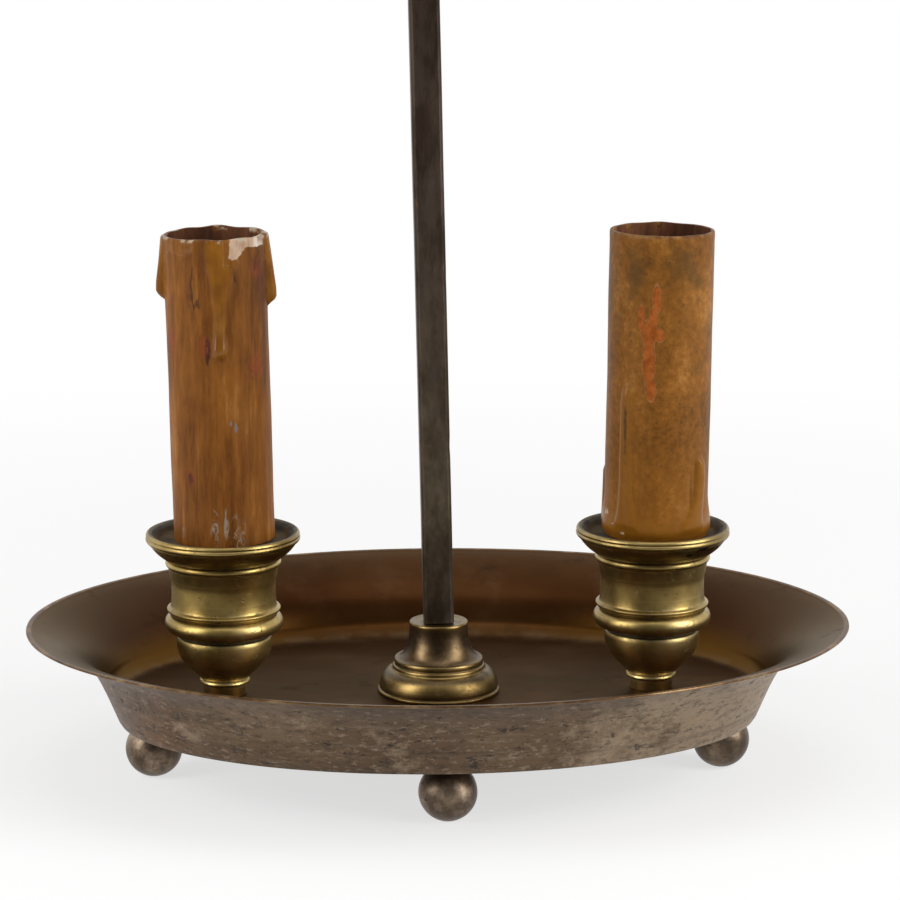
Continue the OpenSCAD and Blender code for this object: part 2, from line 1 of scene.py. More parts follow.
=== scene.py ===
import math
import bpy
import numpy as np
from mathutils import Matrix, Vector


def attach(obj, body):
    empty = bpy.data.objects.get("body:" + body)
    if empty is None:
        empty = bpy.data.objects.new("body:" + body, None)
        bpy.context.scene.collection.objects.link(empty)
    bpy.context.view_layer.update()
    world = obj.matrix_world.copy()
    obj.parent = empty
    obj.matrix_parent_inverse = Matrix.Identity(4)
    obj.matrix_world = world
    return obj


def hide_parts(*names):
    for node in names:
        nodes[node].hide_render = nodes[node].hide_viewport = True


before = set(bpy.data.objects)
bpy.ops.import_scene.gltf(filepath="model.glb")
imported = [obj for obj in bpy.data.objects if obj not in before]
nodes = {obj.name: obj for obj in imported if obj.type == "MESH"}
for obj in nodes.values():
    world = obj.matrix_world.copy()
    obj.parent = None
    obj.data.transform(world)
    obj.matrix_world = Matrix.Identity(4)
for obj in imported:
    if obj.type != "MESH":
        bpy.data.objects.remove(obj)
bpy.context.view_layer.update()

mm = 0.001


# handling pieces
def takeUp(*pieces):  # only these are selected, the first is active
    if bpy.context.mode != "OBJECT":
        bpy.ops.object.mode_set(mode="OBJECT")
    bpy.ops.object.select_all(action="DESELECT")
    for piece in pieces:
        piece.select_set(True)
    bpy.context.view_layer.objects.active = pieces[0]


def openMesh(piece, select="DESELECT"):
    takeUp(piece)
    bpy.ops.object.mode_set(mode="EDIT")
    bpy.ops.mesh.select_all(action=select)


def closeMesh():
    bpy.ops.mesh.select_mode(type="VERT")
    bpy.ops.object.mode_set(mode="OBJECT")


def pickEdges(piece, wanted):  # opens the mesh with the edges picked that wanted(end, end) names
    openMesh(piece)
    bpy.ops.mesh.select_mode(type="EDGE")
    bpy.ops.object.mode_set(mode="OBJECT")
    mesh = piece.data
    for edge in mesh.edges:
        edge.select = wanted(*(mesh.vertices[i].co for i in edge.vertices))
    bpy.ops.object.mode_set(mode="EDIT")


def pickPoints(piece, wanted):
    openMesh(piece)
    bpy.ops.object.mode_set(mode="OBJECT")
    for vertex in piece.data.vertices:
        vertex.select = wanted(vertex.co)
    bpy.ops.object.mode_set(mode="EDIT")


def setDown(piece):  # the place goes into the mesh, the object stays at the origin
    takeUp(piece)
    bpy.ops.object.transform_apply(location=True, rotation=True, scale=True)


def useModifier(piece, kind, **settings):
    takeUp(piece)
    modifier = piece.modifiers.new(kind.title(), kind)
    for key, value in settings.items():
        setattr(modifier, key, value)
    bpy.ops.object.modifier_apply(modifier=modifier.name)


def softEdges(piece, width, angle=40):
    useModifier(piece, "BEVEL", width=width * mm, segments=2, limit_method="ANGLE", angle_limit=math.radians(angle))


def fillOpenings(piece, turned=True):  # a flat face over each opening
    openMesh(piece)
    bpy.ops.mesh.select_non_manifold()
    bpy.ops.mesh.fill()
    if turned:
        bpy.ops.mesh.select_all(action="SELECT")
        bpy.ops.mesh.normals_make_consistent(inside=False)
    closeMesh()


def smooth(piece, angle):
    takeUp(piece)
    bpy.ops.object.shade_smooth_by_angle(angle=math.radians(angle))


def joinInto(first, *others):
    takeUp(first, *others)
    bpy.ops.object.join()
    return first


def copyOf(piece, name):
    other = piece.copy()
    other.data = piece.data.copy()
    other.name = name
    bpy.context.scene.collection.objects.link(other)
    return other


def ringUp(name, rings, sides, closed=True):
    # a ring drawn up and opened or closed step by step; rings are (half length, half width, height)
    a, b, z = rings[0]
    bpy.ops.object.select_all(action="DESELECT")
    bpy.ops.mesh.primitive_circle_add(vertices=sides, radius=mm, location=(0, 0, z * mm))
    piece = bpy.context.object
    piece.name = name
    piece.scale = (a, b, 1)
    setDown(piece)
    openMesh(piece, "SELECT")
    for a2, b2, z2 in rings[1:]:
        bpy.ops.mesh.extrude_edges_move(TRANSFORM_OT_translate={"value": (0, 0, (z2 - z) * mm)})
        bpy.ops.transform.resize(value=(a2 / a, b2 / b, 1), center_override=(0, 0, z2 * mm))
        a, b, z = a2, b2, z2
    bpy.ops.mesh.select_all(action="SELECT")
    if closed:
        bpy.ops.mesh.remove_doubles(threshold=0.002 * mm)
    bpy.ops.mesh.select_all(action="SELECT")
    bpy.ops.mesh.normals_make_consistent(inside=False)
    closeMesh()
    return piece


def turn(name, outline, sides=128, closed=True):
    return ringUp(name, [(r, r, z) for r, z in outline], sides, closed)


def beside(r, z, *steps):  # points of an outline, each told by its steps from one place
    return [(r + out, z + up) for out, up in steps]


def ovals(a, b, z, *steps):  # the same for rings
    return [(a + out, b + out, z + up) for out, up in steps]


def arc(r, z, reach, start, end, steps, rise=None):  # part of a circle or oval in an outline
    rise = reach if rise is None else rise
    angles = [math.radians(start + (end - start) * i / steps) for i in range(steps + 1)]
    return [(r + reach * math.cos(t), z + rise * math.sin(t)) for t in angles]


def points(piece):
    flat = np.empty(len(piece.data.vertices) * 3)
    piece.data.vertices.foreach_get("co", flat)
    return flat.reshape(-1, 3)


def setPoints(piece, spots):
    piece.data.vertices.foreach_set("co", spots.ravel())
    piece.data.update()


def markHollows(piece, rounds=3):
    # how hollow each point of the surface is, for grime in recesses and wear on edges
    mesh = piece.data
    spots = points(piece)
    normals = np.empty(len(spots) * 3)
    mesh.vertices.foreach_get("normal", normals)
    normals = normals.reshape(-1, 3)
    ends = np.empty(len(mesh.edges) * 2, dtype=int)
    mesh.edges.foreach_get("vertices", ends)
    a, b = ends.reshape(-1, 2).T
    along = spots[b] - spots[a]
    along /= np.maximum(np.linalg.norm(along, axis=1), 1e-9)[:, None]
    hollow, count = np.zeros(len(spots)), np.zeros(len(spots))
    np.add.at(hollow, a, (normals[a] * along).sum(1))
    np.add.at(hollow, b, -(normals[b] * along).sum(1))
    np.add.at(count, a, 1)
    np.add.at(count, b, 1)
    count = np.maximum(count, 1)
    hollow /= count
    for _ in range(rounds):
        spread = np.zeros(len(spots))
        np.add.at(spread, a, hollow[b])
        np.add.at(spread, b, hollow[a])
        hollow = 0.5 * hollow + 0.5 * spread / count
    layer = mesh.attributes.new("hollow", "FLOAT", "POINT")
    layer.data.foreach_set("value", hollow)


def uneven(spots, size, seed):
    # smooth waves in three directions, from -1 to 1, for dents and bends
    rng = np.random.default_rng(seed)
    total = np.zeros(len(spots))
    for _ in range(9):
        way = rng.normal(size=3)
        way *= rng.uniform(0.5, 1.6) * 2 * math.pi / (size * mm * np.linalg.norm(way))
        total += np.sin(spots @ way + rng.uniform(0, 6.28))
    return total / 5


# wiring materials
class Wire:  # a socket of a material; sums written on it add Math nodes
    def __init__(self, finish, socket):
        self.finish = finish
        self.socket = socket

    def math(self, operation, first, second):
        return self.finish.add("ShaderNodeMath", {"operation": operation}, {0: first, 1: second})

    def __add__(self, other):
        return self.math("ADD", self, other)

    def __radd__(self, other):
        return self.math("ADD", other, self)

    def __sub__(self, other):
        return self.math("SUBTRACT", self, other)

    def __rsub__(self, other):
        return self.math("SUBTRACT", other, self)

    def __mul__(self, other):
        return self.math("MULTIPLY", self, other)

    def __rmul__(self, other):
        return self.math("MULTIPLY", other, self)

    def __abs__(self):
        return self.math("ABSOLUTE", self, 0)


class Finish:  # a material, with the calls that wire its nodes
    def __init__(self, name, fixed=None):
        self.material = bpy.data.materials.new(name)
        self.material.use_nodes = True
        self.tree = self.material.node_tree
        self.shader = self.tree.nodes["Principled BSDF"]
        for socket, value in (fixed or {}).items():
            self.shader.inputs[socket].default_value = value
        self.place = self.add("ShaderNodeTexCoord", out="Object")

    def add(self, kind, settings=None, sockets=None, out=0):
        node = self.tree.nodes.new(kind)
        for key, value in (settings or {}).items():
            if key == "stops":
                first, *between, last = [(at, (*tint, 1)) for at, tint in value]
                node.color_ramp.elements[0].position, node.color_ramp.elements[0].color = first
                node.color_ramp.elements[1].position, node.color_ramp.elements[1].color = last
                for at, tint in between:
                    node.color_ramp.elements.new(at).color = tint
            else:
                setattr(node, key, value)
        for key, value in (sockets or {}).items():
            self.plug(node.inputs[key], value)
        return Wire(self, node.outputs[out])

    def plug(self, socket, value):
        if isinstance(value, Wire):
            self.tree.links.new(value.socket, socket)
        elif socket.type == "RGBA" and len(value) == 3:
            socket.default_value = (*value, 1)
        else:
            socket.default_value = value

    def feed(self, name, value):
        self.plug(self.shader.inputs[name], value)

    def moved(self, centre=(0, 0, 0), stretch=(1, 1, 1)):
        away = self.add("ShaderNodeVectorMath", {"operation": "SUBTRACT"}, {0: self.place, 1: centre})
        return self.add("ShaderNodeMapping", None, {"Vector": away, "Scale": stretch})

    def noise(self, scale, detail=3, rough=0.55, stretch=(1, 1, 1), shift=(0, 0, 0), twist=0):
        where = self.moved(shift, stretch)
        return self.add("ShaderNodeTexNoise", None,
                        {"Vector": where, "Scale": scale, "Detail": detail, "Roughness": rough, "Distortion": twist})

    def ease(self, value, low, high, least=0, most=1):  # smooth step from least at low to most at high
        return self.add("ShaderNodeMapRange", {"interpolation_type": "SMOOTHSTEP"},
                        {0: value, 1: low, 2: high, 3: least, 4: most})

    def patches(self, low, high, *noise, **where):  # 1 where a noise is over high, 0 where it is under low
        return self.ease(self.noise(*noise, **where), low, high)

    def ramp(self, value, *stops):
        return self.add("ShaderNodeValToRGB", {"stops": stops}, {0: value})

    def tint(self, share, low, high):
        setting = {"data_type": "RGBA", "clamp_factor": True}
        return self.add("ShaderNodeMix", setting, {0: share, 6: low, 7: high}, out=2)

    def lay(self, share, tint):  # one more colour over the ground
        self.ground = self.tint(share, self.ground, tint)

    def done(self, rough, metal=0, *heights):
        self.feed("Base Color", self.ground)
        self.feed("Roughness", rough)
        self.feed("Metallic", metal)
        if heights:
            self.bump(*heights)
        return self

    def split(self, where, axis):
        return self.add("ShaderNodeSeparateXYZ", None, {0: where}, out=axis)

    def spot(self, at, size, edge, ragged=0, grain=300):  # 1 inside an oval patch, in millimetres
        away = self.moved([v * mm for v in at], [1000 / v for v in size])
        reach = self.add("ShaderNodeVectorMath", {"operation": "LENGTH"}, {0: away}, out="Value")
        if ragged:
            reach = reach + (self.noise(grain, 3, 0.6, shift=(0, 0.3, 0.1)) - 0.5) * ragged
        return self.ease(reach, 1, 1 - edge)

    def spots(self, x, *patches):  # each patch is (place from x, size, edge, ragged, grain)
        return self.most(*(self.spot((x + at[0], *at[1:]), *rest) for at, *rest in patches))

    def most(self, first, *others):
        for other in others:
            first = first.math("MAXIMUM", first, other)
        return first

    def read(self, name):  # a value kept on the mesh's points
        return self.add("ShaderNodeAttribute", {"attribute_name": name}, out="Fac")

    def bump(self, *layers):  # layers are (height, depth in millimetres)
        normal = None
        for height, depth in layers:
            sockets = {"Height": height, "Distance": depth * mm, "Strength": 1.0}
            if normal:
                sockets["Normal"] = normal
            normal = self.add("ShaderNodeBump", None, sockets)
        self.feed("Normal", normal)


def hand(piece, body, node):  # the piece moves with body and stands in for node
    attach(piece, body)
    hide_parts(node)


def dress(piece, *finishes):
    piece.data.materials.clear()
    for finish in finishes:
        piece.data.materials.append(finish.material)


# camera, lights and floor; lengths in metres, angles in degrees
studio = {
    "cameraAt": (-0.06048, -1.12582, 0.34406), "yaw": 3.265, "pitch": 12.026, "pixels": 3539.0, "axisRow": 463.09,
    "photo": 900,
    "left": {"at": (-1.05, -0.42, 0.6), "size": (0.55, 0.95), "watts": 9.5},
    "right": {"at": (1.05, -0.5, 0.62), "size": (0.6, 1.0), "watts": 13},
    "top": {"at": (0.05, -0.25, 1.7), "size": (1.0, 1.0), "watts": 5},
    "fill": 0.36, "darkSide": 0.1,
}


def setCamera():
    data = bpy.data.cameras.new("photoCamera")
    camera = bpy.data.objects.new("photoCamera", data)
    bpy.context.scene.collection.objects.link(camera)
    camera.location = studio["cameraAt"]
    camera.rotation_euler = (math.radians(90 - studio["pitch"]), 0, math.radians(-studio["yaw"]))
    data.sensor_width = 36
    data.sensor_fit = "HORIZONTAL"
    data.lens = studio["pixels"] / studio["photo"] * data.sensor_width
    data.shift_y = studio["axisRow"] / studio["photo"] - 0.5
    data.clip_start = 0.01
    bpy.context.scene.camera = camera


def setLamp(name, at, size, watts):
    data = bpy.data.lights.new(name, "AREA")
    data.shape = "RECTANGLE"
    data.size, data.size_y = size
    data.energy = watts
    lamp = bpy.data.objects.new(name, data)
    bpy.context.scene.collection.objects.link(lamp)
    lamp.location = at
    lamp.rotation_euler = (Vector((0, 0, 0.1)) - Vector(at)).to_track_quat("-Z", "Y").to_euler()


def setRoom():
    # white for the camera and in reflections, but the photographer's end of the room is dim
    world = bpy.data.worlds.new("room")
    world.use_nodes = True
    bpy.context.scene.world = world
    tree = world.node_tree

    def node(kind, operation=None, **sockets):  # sockets are values or (node, output) pairs
        made = tree.nodes.new("ShaderNode" + kind)
        if operation:
            made.operation = operation
        for name, value in sockets.items():
            socket = made.inputs[int(name[1:]) if name[1:].isdigit() else name.replace("_", " ")]
            if isinstance(value, tuple):
                tree.links.new(value[0].outputs[value[1]], socket)
            else:
                socket.default_value = value
        return made

    path = node("LightPath")
    apart = node("SeparateXYZ", _0=(node("TexCoord"), "Generated"))
    dim = node("MapRange", Value=(apart, "Y"), From_Min=-0.92, From_Max=-0.25, To_Min=studio["darkSide"], To_Max=1.0)
    dim.interpolation_type = "SMOOTHSTEP"
    shiny = node("Math", "MAXIMUM", _0=(path, "Is Glossy Ray"), _1=(path, "Is Transmission Ray"))
    first = node("Mix", A=studio["fill"], Factor=(shiny, 0), B=(dim, 0))
    second = node("Mix", A=(first, "Result"), B=1.0, Factor=(path, "Is Camera Ray"))
    back = tree.nodes["Background"]
    tree.links.new(second.outputs["Result"], back.inputs["Strength"])
    back.inputs["Color"].default_value = (1, 1, 1, 1)


def setFloor():
    bpy.ops.object.select_all(action="DESELECT")
    bpy.ops.mesh.primitive_plane_add(size=8, location=(0, 0, 0))
    floor = bpy.context.object
    floor.name = "floorSheet"
    paper = Finish("palePaper", {"Roughness": 0.9, "Specular IOR Level": 0.1, "Base Color": (0.93, 0.93, 0.93, 1)})
    path = paper.tree.nodes.new("ShaderNodeLightPath")
    glow = paper.tree.nodes.new("ShaderNodeEmission")
    glow.inputs["Strength"].default_value = 1.0
    mix = paper.tree.nodes.new("ShaderNodeMixShader")
    seen = Wire(paper, path.outputs["Is Camera Ray"])
    seen = seen.math("MAXIMUM", seen, Wire(paper, path.outputs["Is Glossy Ray"]))
    seen = seen.math("MAXIMUM", seen, Wire(paper, path.outputs["Is Transmission Ray"]))
    away = paper.add("ShaderNodeVectorMath", {"operation": "LENGTH"}, {0: paper.place}, out="Value")
    glowing = paper.ease(away, 0.22, 0.75, 0.66, 1.0)
    paper.tree.links.new((seen * glowing).socket, mix.inputs[0])
    paper.tree.links.new(paper.shader.outputs[0], mix.inputs[1])
    paper.tree.links.new(glow.outputs[0], mix.inputs[2])
    paper.tree.links.new(mix.outputs[0], paper.tree.nodes["Material Output"].inputs["Surface"])
    dress(floor, paper)


setCamera()
for lampName in ("left", "right", "top"):
    setLamp(lampName + "Lamp", **studio[lampName])
setRoom()
setFloor()
bpy.context.scene.view_settings.view_transform = "Standard"
print("stage: camera, three lamps and floor")


# metal finishes
def platedOutside():  # worn silver plate over copper, brushed level
    f = Finish("wornPlate")
    cloud = f.noise(22, 4, 0.6)
    broad = f.noise(9, 2, 0.5, shift=(0.4, 0, 0))
    brush = f.noise(9, 5, 0.75, stretch=(1, 1, 26))
    streak = f.noise(30, 4, 0.7, stretch=(1, 1, 14), shift=(0, 0.2, 0))
    fine = f.noise(420, 3, 0.7)
    f.ground = f.ramp(cloud * 0.6 + broad * 0.4, (0.3, (0.058, 0.037, 0.022)), (0.45, (0.112, 0.072, 0.043)),
                      (0.56, (0.15, 0.098, 0.058)), (0.7, (0.215, 0.15, 0.098)))
    side = f.split(f.place, "X")
    rust = f.patches(0.52, 0.7, 14, 3, 0.6, shift=(0.1, 0.1, 0.7))
    f.lay(rust * 0.55, (0.19, 0.093, 0.045))
    silvered = f.noise(34, 6, 0.72, shift=(0.3, 0.9, 0.2)) + f.ease(side, 0.01, 0.07) * f.ease(side, 0.118, 0.1) * 0.2
    bright = f.ease(silvered, 0.54, 0.7)
    f.lay(bright * 0.55, (0.4, 0.305, 0.205))
    f.lay(f.ease(side, -0.085, -0.115) * 0.55, (0.12, 0.1, 0.085))
    f.lay(f.ease(brush, 0.5, 0.72) * 0.45, (0.042, 0.031, 0.024))
    f.lay(f.ease(streak, 0.55, 0.75) * 0.35, (0.26, 0.21, 0.155))
    flecks = f.patches(0.5, 0.62, 240, 5, 0.75, stretch=(1, 1, 2.4), shift=(0, 0.6, 0.1))
    f.lay(flecks * 0.5, (0.046, 0.033, 0.024))
    scuffs = f.patches(0.54, 0.66, 330, 4, 0.7, stretch=(1, 1, 2.2), shift=(0.5, 0, 0.3))
    f.lay(scuffs * 0.42, (0.38, 0.29, 0.21))
    pits = f.patches(0.58, 0.66, 190, 5, 0.75, stretch=(1, 1, 1.7))
    f.lay(pits * 0.8, (0.022, 0.017, 0.013))
    blots = f.most(f.spot((-86.5, -52, 33), (3.4, 6, 2.4), 0.7, 0.9, 500),
                   f.spot((52, -80, 27), (4.2, 8, 3.2), 0.8, 1.1, 500),
                   f.spot((70, -76, 30), (3.2, 7, 4.2), 0.8, 1.2, 500),
                   f.spot((98, -45, 40), (2, 5, 2), 0.8, 0.9, 500))
    f.lay(blots * 0.8, (0.03, 0.024, 0.02))
    return f.done(0.4 + cloud * 0.16 + pits * 0.2, 0.86 - pits * 0.4, (brush, 0.1), (fine, 0.05), (pits, -0.12))


def copperInside():  # browned copper, smooth and still reflecting
    f = Finish("brownedCopper", {"Specular Tint": (0.8, 0.75, 0.65, 1)})
    cloud = f.noise(16, 4, 0.55)
    side = f.split(f.place, "X")
    height = f.split(f.place, "Z")
    f.ground = f.ramp(cloud, (0.34, (0.03, 0.0105, 0.003)), (0.5, (0.042, 0.015, 0.0044)),
                      (0.66, (0.058, 0.0225, 0.007)))
    violet = f.most(f.ease(side, -0.062, -0.12), f.ease(side, 0.075, 0.13))
    f.lay(violet * 0.85, (0.046, 0.0215, 0.0125))
    lip = f.ease(height, 0.0485, 0.0508)
    f.lay(lip * 0.4, (0.085, 0.045, 0.025))
    stain = f.patches(0.54, 0.72, 38, 5, 0.66, shift=(0.2, 0, 0.5))
    f.lay(stain * 0.35, (0.082, 0.036, 0.013))
    dark = f.patches(0.56, 0.74, 70, 5, 0.7, shift=(0.6, 0, 0.5))
    f.lay(dark * 0.5, (0.018, 0.008, 0.004))
    # painted reflection: a warm olive-gold band low on the inner wall, strongest beside and beyond the cups, where the
    # brass cups are mirrored
    olive = f.ease(height, 0.04, 0.0295)
    wall = f.ease(height, 0.0278, 0.0286)
    flank = f.ease(abs(side), 0.03, 0.075, 0.25, 1.0)
    f.lay(olive * wall * flank * 0.85, (0.1, 0.046, 0.007))
    flat = f.ease(height, 0.0284, 0.0277)
    floorTint = f.ramp(f.noise(26, 5, 0.6, stretch=(1, 2.4, 1)), (0.34, (0.027, 0.01, 0.0034)),
                       (0.52, (0.042, 0.0165, 0.006)), (0.7, (0.064, 0.031, 0.014)))
    f.lay(flat * 0.9, floorTint)
    rim = f.ease(height, 0.0276, 0.0281) * f.ease(height, 0.03, 0.0285)
    f.lay(rim * f.patches(0.38, 0.6, 90, 4, 0.6) * 0.4, (0.12, 0.078, 0.04))
    return f.done(0.26 + flat * 0.16 + cloud * 0.12 + dark * 0.12, 0.97 - stain * 0.1, (f.noise(300, 4, 0.7), 0.02),
                  (dark, -0.03))


def bareLip():  # rubbed edge of the tray, thin copper line
    f = Finish("rubbedLip")
    worn = f.noise(60, 5, 0.7)
    f.ground = f.ramp(worn, (0.35, (0.06, 0.032, 0.015)), (0.5, (0.13, 0.068, 0.028)), (0.66, (0.3, 0.2, 0.1)))
    return f.done(0.3 + worn * 0.2, 0.88 + worn * 0.05, (f.noise(260, 4, 0.7), 0.03))


def brass(name, centre, bright, olive, shade, pale=0.5, dull=0.0):  # old lacquered brass turned on a lathe
    f = Finish(name)
    at = [v * mm for v in centre]
    hollow = f.read("hollow")
    cloud = f.noise(38, 4, 0.6, shift=at)
    fine = f.noise(260, 4, 0.7, shift=at)
    rings = f.noise(14, 3, 0.6, stretch=(1, 1, 42), shift=at)
    f.ground = f.ramp(cloud, (0.32, shade), (0.5, olive), (0.68, bright))
    f.lay(f.ease(rings, 0.52, 0.72) * 0.35, bright)
    green = f.patches(0.56, 0.72, 52, 3, 0.5, shift=(at[0] + 0.5, 0, 0))
    f.lay(green * 0.35, (olive[0] * 0.85, olive[1] * 1.25, olive[2] * 1.6))
    smut = f.patches(0.53, 0.7, 85, 5, 0.72, shift=(at[0] + 0.7, 0.2, 0))
    f.lay(smut * 0.55, (shade[0] * 0.6, shade[1] * 0.6, shade[2] * 0.8))
    specks = f.patches(0.6, 0.7, 310, 5, 0.75, shift=(at[0] + 0.1, 0.4, 0))
    f.lay(specks * 0.8, (0.03, 0.018, 0.007))
    edges = f.ease(hollow, -0.05, -0.2) * f.patches(0.36, 0.6, 70, 3, 0.6, shift=(0, at[0], 0.3))
    f.lay(edges * pale, (0.55, 0.42, 0.18))
    grime = f.ease(hollow + (fine - 0.5) * 0.14, 0.03, 0.13)
    dirt = f.ramp(f.noise(230, 3, 0.6, shift=(0.2, at[0], 0)), (0.42, (0.034, 0.027, 0.019)),
                  (0.6, (0.12, 0.108, 0.09)))
    f.lay(grime * 0.92, dirt)
    f.metal = 0.98 - grime * 0.8 - specks * 0.3
    f.rough = 0.27 + dull + cloud * 0.18 + grime * 0.35 + smut * 0.14 + specks * 0.2
    return f.done(f.rough, f.metal, (rings, 0.018), (fine, 0.018), (specks, -0.04))


def stemMetal():
    f = Finish("bronzedBar")
    height = f.split(f.place, "Z")
    cloud = f.noise(45, 5, 0.62, stretch=(1, 1, 0.35))
    f.ground = f.ramp(cloud, (0.33, (0.013, 0.0075, 0.0047)), (0.5, (0.026, 0.0145, 0.009)),
                      (0.68, (0.046, 0.027, 0.0165)))
    low = f.ease(height, 0.22, 0.07)
    olive = f.ramp(f.noise(110, 5, 0.7, stretch=(1, 1, 0.5)), (0.35, (0.032, 0.024, 0.014)),
                   (0.52, (0.07, 0.05, 0.028)), (0.7, (0.135, 0.105, 0.06)))
    f.lay(low * 0.8, olive)
    rust = f.patches(0.62, 0.74, 170, 4, 0.7, stretch=(1, 1, 0.4), shift=(0.3, 0, 0))
    f.lay(rust * 0.5, (0.105, 0.043, 0.02))
    edges = f.ease(f.read("hollow"), -0.02, -0.14)
    scuff = f.patches(0.36, 0.6, 130, 4, 0.7, stretch=(1, 1, 0.3), shift=(0, 0.7, 0))
    f.lay(edges * scuff * 0.55, (0.22, 0.18, 0.145))
    specks = f.patches(0.63, 0.72, 380, 4, 0.75, shift=(0, 0, 0.4))
    f.lay(specks * 0.6, (0.01, 0.008, 0.006))
    return f.done(0.38 + cloud * 0.16 + specks * 0.2, 0.8 - specks * 0.4, (cloud, 0.05), (f.noise(330, 4, 0.7), 0.03))


def footMetal():
    f = Finish("wornBall")
    cloud = f.noise(75, 5, 0.68)
    f.ground = f.ramp(cloud, (0.34, (0.04, 0.028, 0.02)), (0.48, (0.098, 0.067, 0.044)), (0.58, (0.19, 0.138, 0.094)),
                      (0.7, (0.38, 0.29, 0.205)))
    rust = f.patches(0.54, 0.7, 60, 4, 0.6, shift=(0.7, 0, 0))
    f.lay(rust * 0.5, (0.15, 0.08, 0.045))
    rub = f.patches(0.52, 0.7, 30, 5, 0.75, stretch=(1, 1, 9))
    f.lay(rub * 0.4, (0.042, 0.032, 0.024))
    pits = f.patches(0.6, 0.7, 330, 5, 0.75, shift=(0, 0.5, 0))
    f.lay(pits * 0.8, (0.016, 0.013, 0.011))
    # painted shadow: the top of each ball, just under the tray, is darkened
    top = f.ease(f.split(f.place, "Z"), 0.0135, 0.0185)
    f.lay(top * 0.7, (0.024, 0.022, 0.02))
    return f.done(0.3 + cloud * 0.2 + pits * 0.2, 0.82 - pits * 0.4, (cloud, 0.06), (pits, -0.08))


print("stage: metal finishes")


# tray; lengths in millimetres, as for every piece below
tray = {
    "rim": (135.0, 102.8), "foot": (105.0, 68.4), "flare": (30.0, 34.4), "low": 19.0, "rise": 31.9,
    "lean": 0.44, "power": 5.5, "sheet": 1.6, "floor": 27.6, "under": 25.6, "recess": (102.5, 65.9),
    "cove": (6.0, 12.0), "coveFrom": 0.42, "coveTilt": 17, "sides": 320, "bend": 0.22,
}


def wallAt(h):
    share = tray["lean"] * h + (1 - tray["lean"]) * h ** tray["power"]
    return tray["foot"][0] + tray["flare"][0] * share, tray["foot"][1] + tray["flare"][1] * share


def makeTray():
    low, rise, sheet = tray["low"], tray["rise"], tray["sheet"]
    rx, ry = tray["recess"]
    fx, fy = tray["foot"]
    rings = [(rx, ry, tray["under"])] + ovals(rx, ry, low, (0, 0.5), (0.4, 0))
    rings += ovals(fx, fy, low, (-0.7, 0), (-0.2, 0.2), (0, 0.6))
    for i in range(1, 40):
        h = 0.02 + 0.955 * i / 39
        rings.append((*wallAt(h), low + h * rise))
    ra, rb = tray["rim"]
    top = low + rise
    rings += ovals(ra, rb, top, (-0.45, -0.75), (-0.1, -0.6), (0, -0.35), (-0.1, -0.1), (-0.4, 0), (-1.3, 0),
                   (-1.7, -0.2))
    for i in range(40):
        h = 0.985 - (0.985 - tray["coveFrom"]) * i / 39
        a, b = wallAt(h)
        rings.append((a - sheet - 0.1, b - sheet - 0.1, low + h * rise - 0.15 * (1 - i / 39)))
    a, b = wallAt(tray["coveFrom"])
    start = low + tray["coveFrom"] * rise
    first = math.radians(tray["coveTilt"])
    for i in range(1, 19):
        t = first + (math.pi / 2 - first) * i / 18
        inward = (math.cos(first) - math.cos(t)) / math.cos(first)
        down = (math.sin(t) - math.sin(first)) / (1 - math.sin(first))
        rings.append((a - sheet - 0.1 - tray["cove"][0] * inward, b - sheet - 0.1 - tray["cove"][1] * inward,
                      start - (start - tray["floor"]) * down))
    a, b, z = rings[-1]
    for share in (0.995, 0.985, 0.93, 0.84, 0.72, 0.58, 0.42, 0.26, 0.12):
        rings.append((a * share, b * share, tray["floor"] - (0.05 if share < 0.99 else 0)))
    piece = ringUp("trayShell", rings, tray["sides"], closed=False)
    fillOpenings(piece)  # the floor's middle and the roof of the recess
    spots = points(piece)
    height = np.clip((spots[:, 2] / mm - 30) / 20, 0, 1) ** 1.5
    flat = spots * np.array([1, 1, 0.2])
    spots[:, 2] += uneven(flat, 150, 3) * tray["bend"] * mm * height
    reach = 1 + uneven(flat, 90, 8) * 0.0012 * height
    spots[:, :2] *= reach[:, None]
    over = np.hypot(spots[:, 0] / (ra * mm), spots[:, 1] / (rb * mm))
    spots[:, :2] /= np.maximum(over, 1)[:, None]
    setPoints(piece, spots)
    return piece


def paintTray(piece):
    dress(piece, platedOutside(), copperInside(), bareLip())
    low, rise = tray["low"], tray["rise"]
    mesh = piece.data
    for face in mesh.polygons:
        x, y, z = (v / mm for v in face.center)
        h = min(max((z - low) / rise, 0), 1)
        a, b = wallAt(h)
        out = math.hypot(x / (a - 0.8), y / (b - 0.8)) > 1
        if z > low + rise - 1.05:
            face.material_index = 2 if math.hypot(x / (tray["rim"][0] - 2.0), y / (tray["rim"][1] - 2.0)) > 1 else 1
        elif out or z < tray["floor"] - 0.6:
            face.material_index = 0
        else:
            face.material_index = 1


trayShell = makeTray()
smooth(trayShell, 42)
markHollows(trayShell, 2)
paintTray(trayShell)
hand(trayShell, "lamp", "tray")
print("stage: tray", len(trayShell.data.polygons), "faces")


# feet
feet = {"ball": 9.4, "centre": 9.1, "flat": 0.0, "neck": 3.5, "top": 19.0, "stud": 2.5, "studTop": 24.5,
        "places": ((-94, 0), (94, 0), (0, -54), (0, 54))}


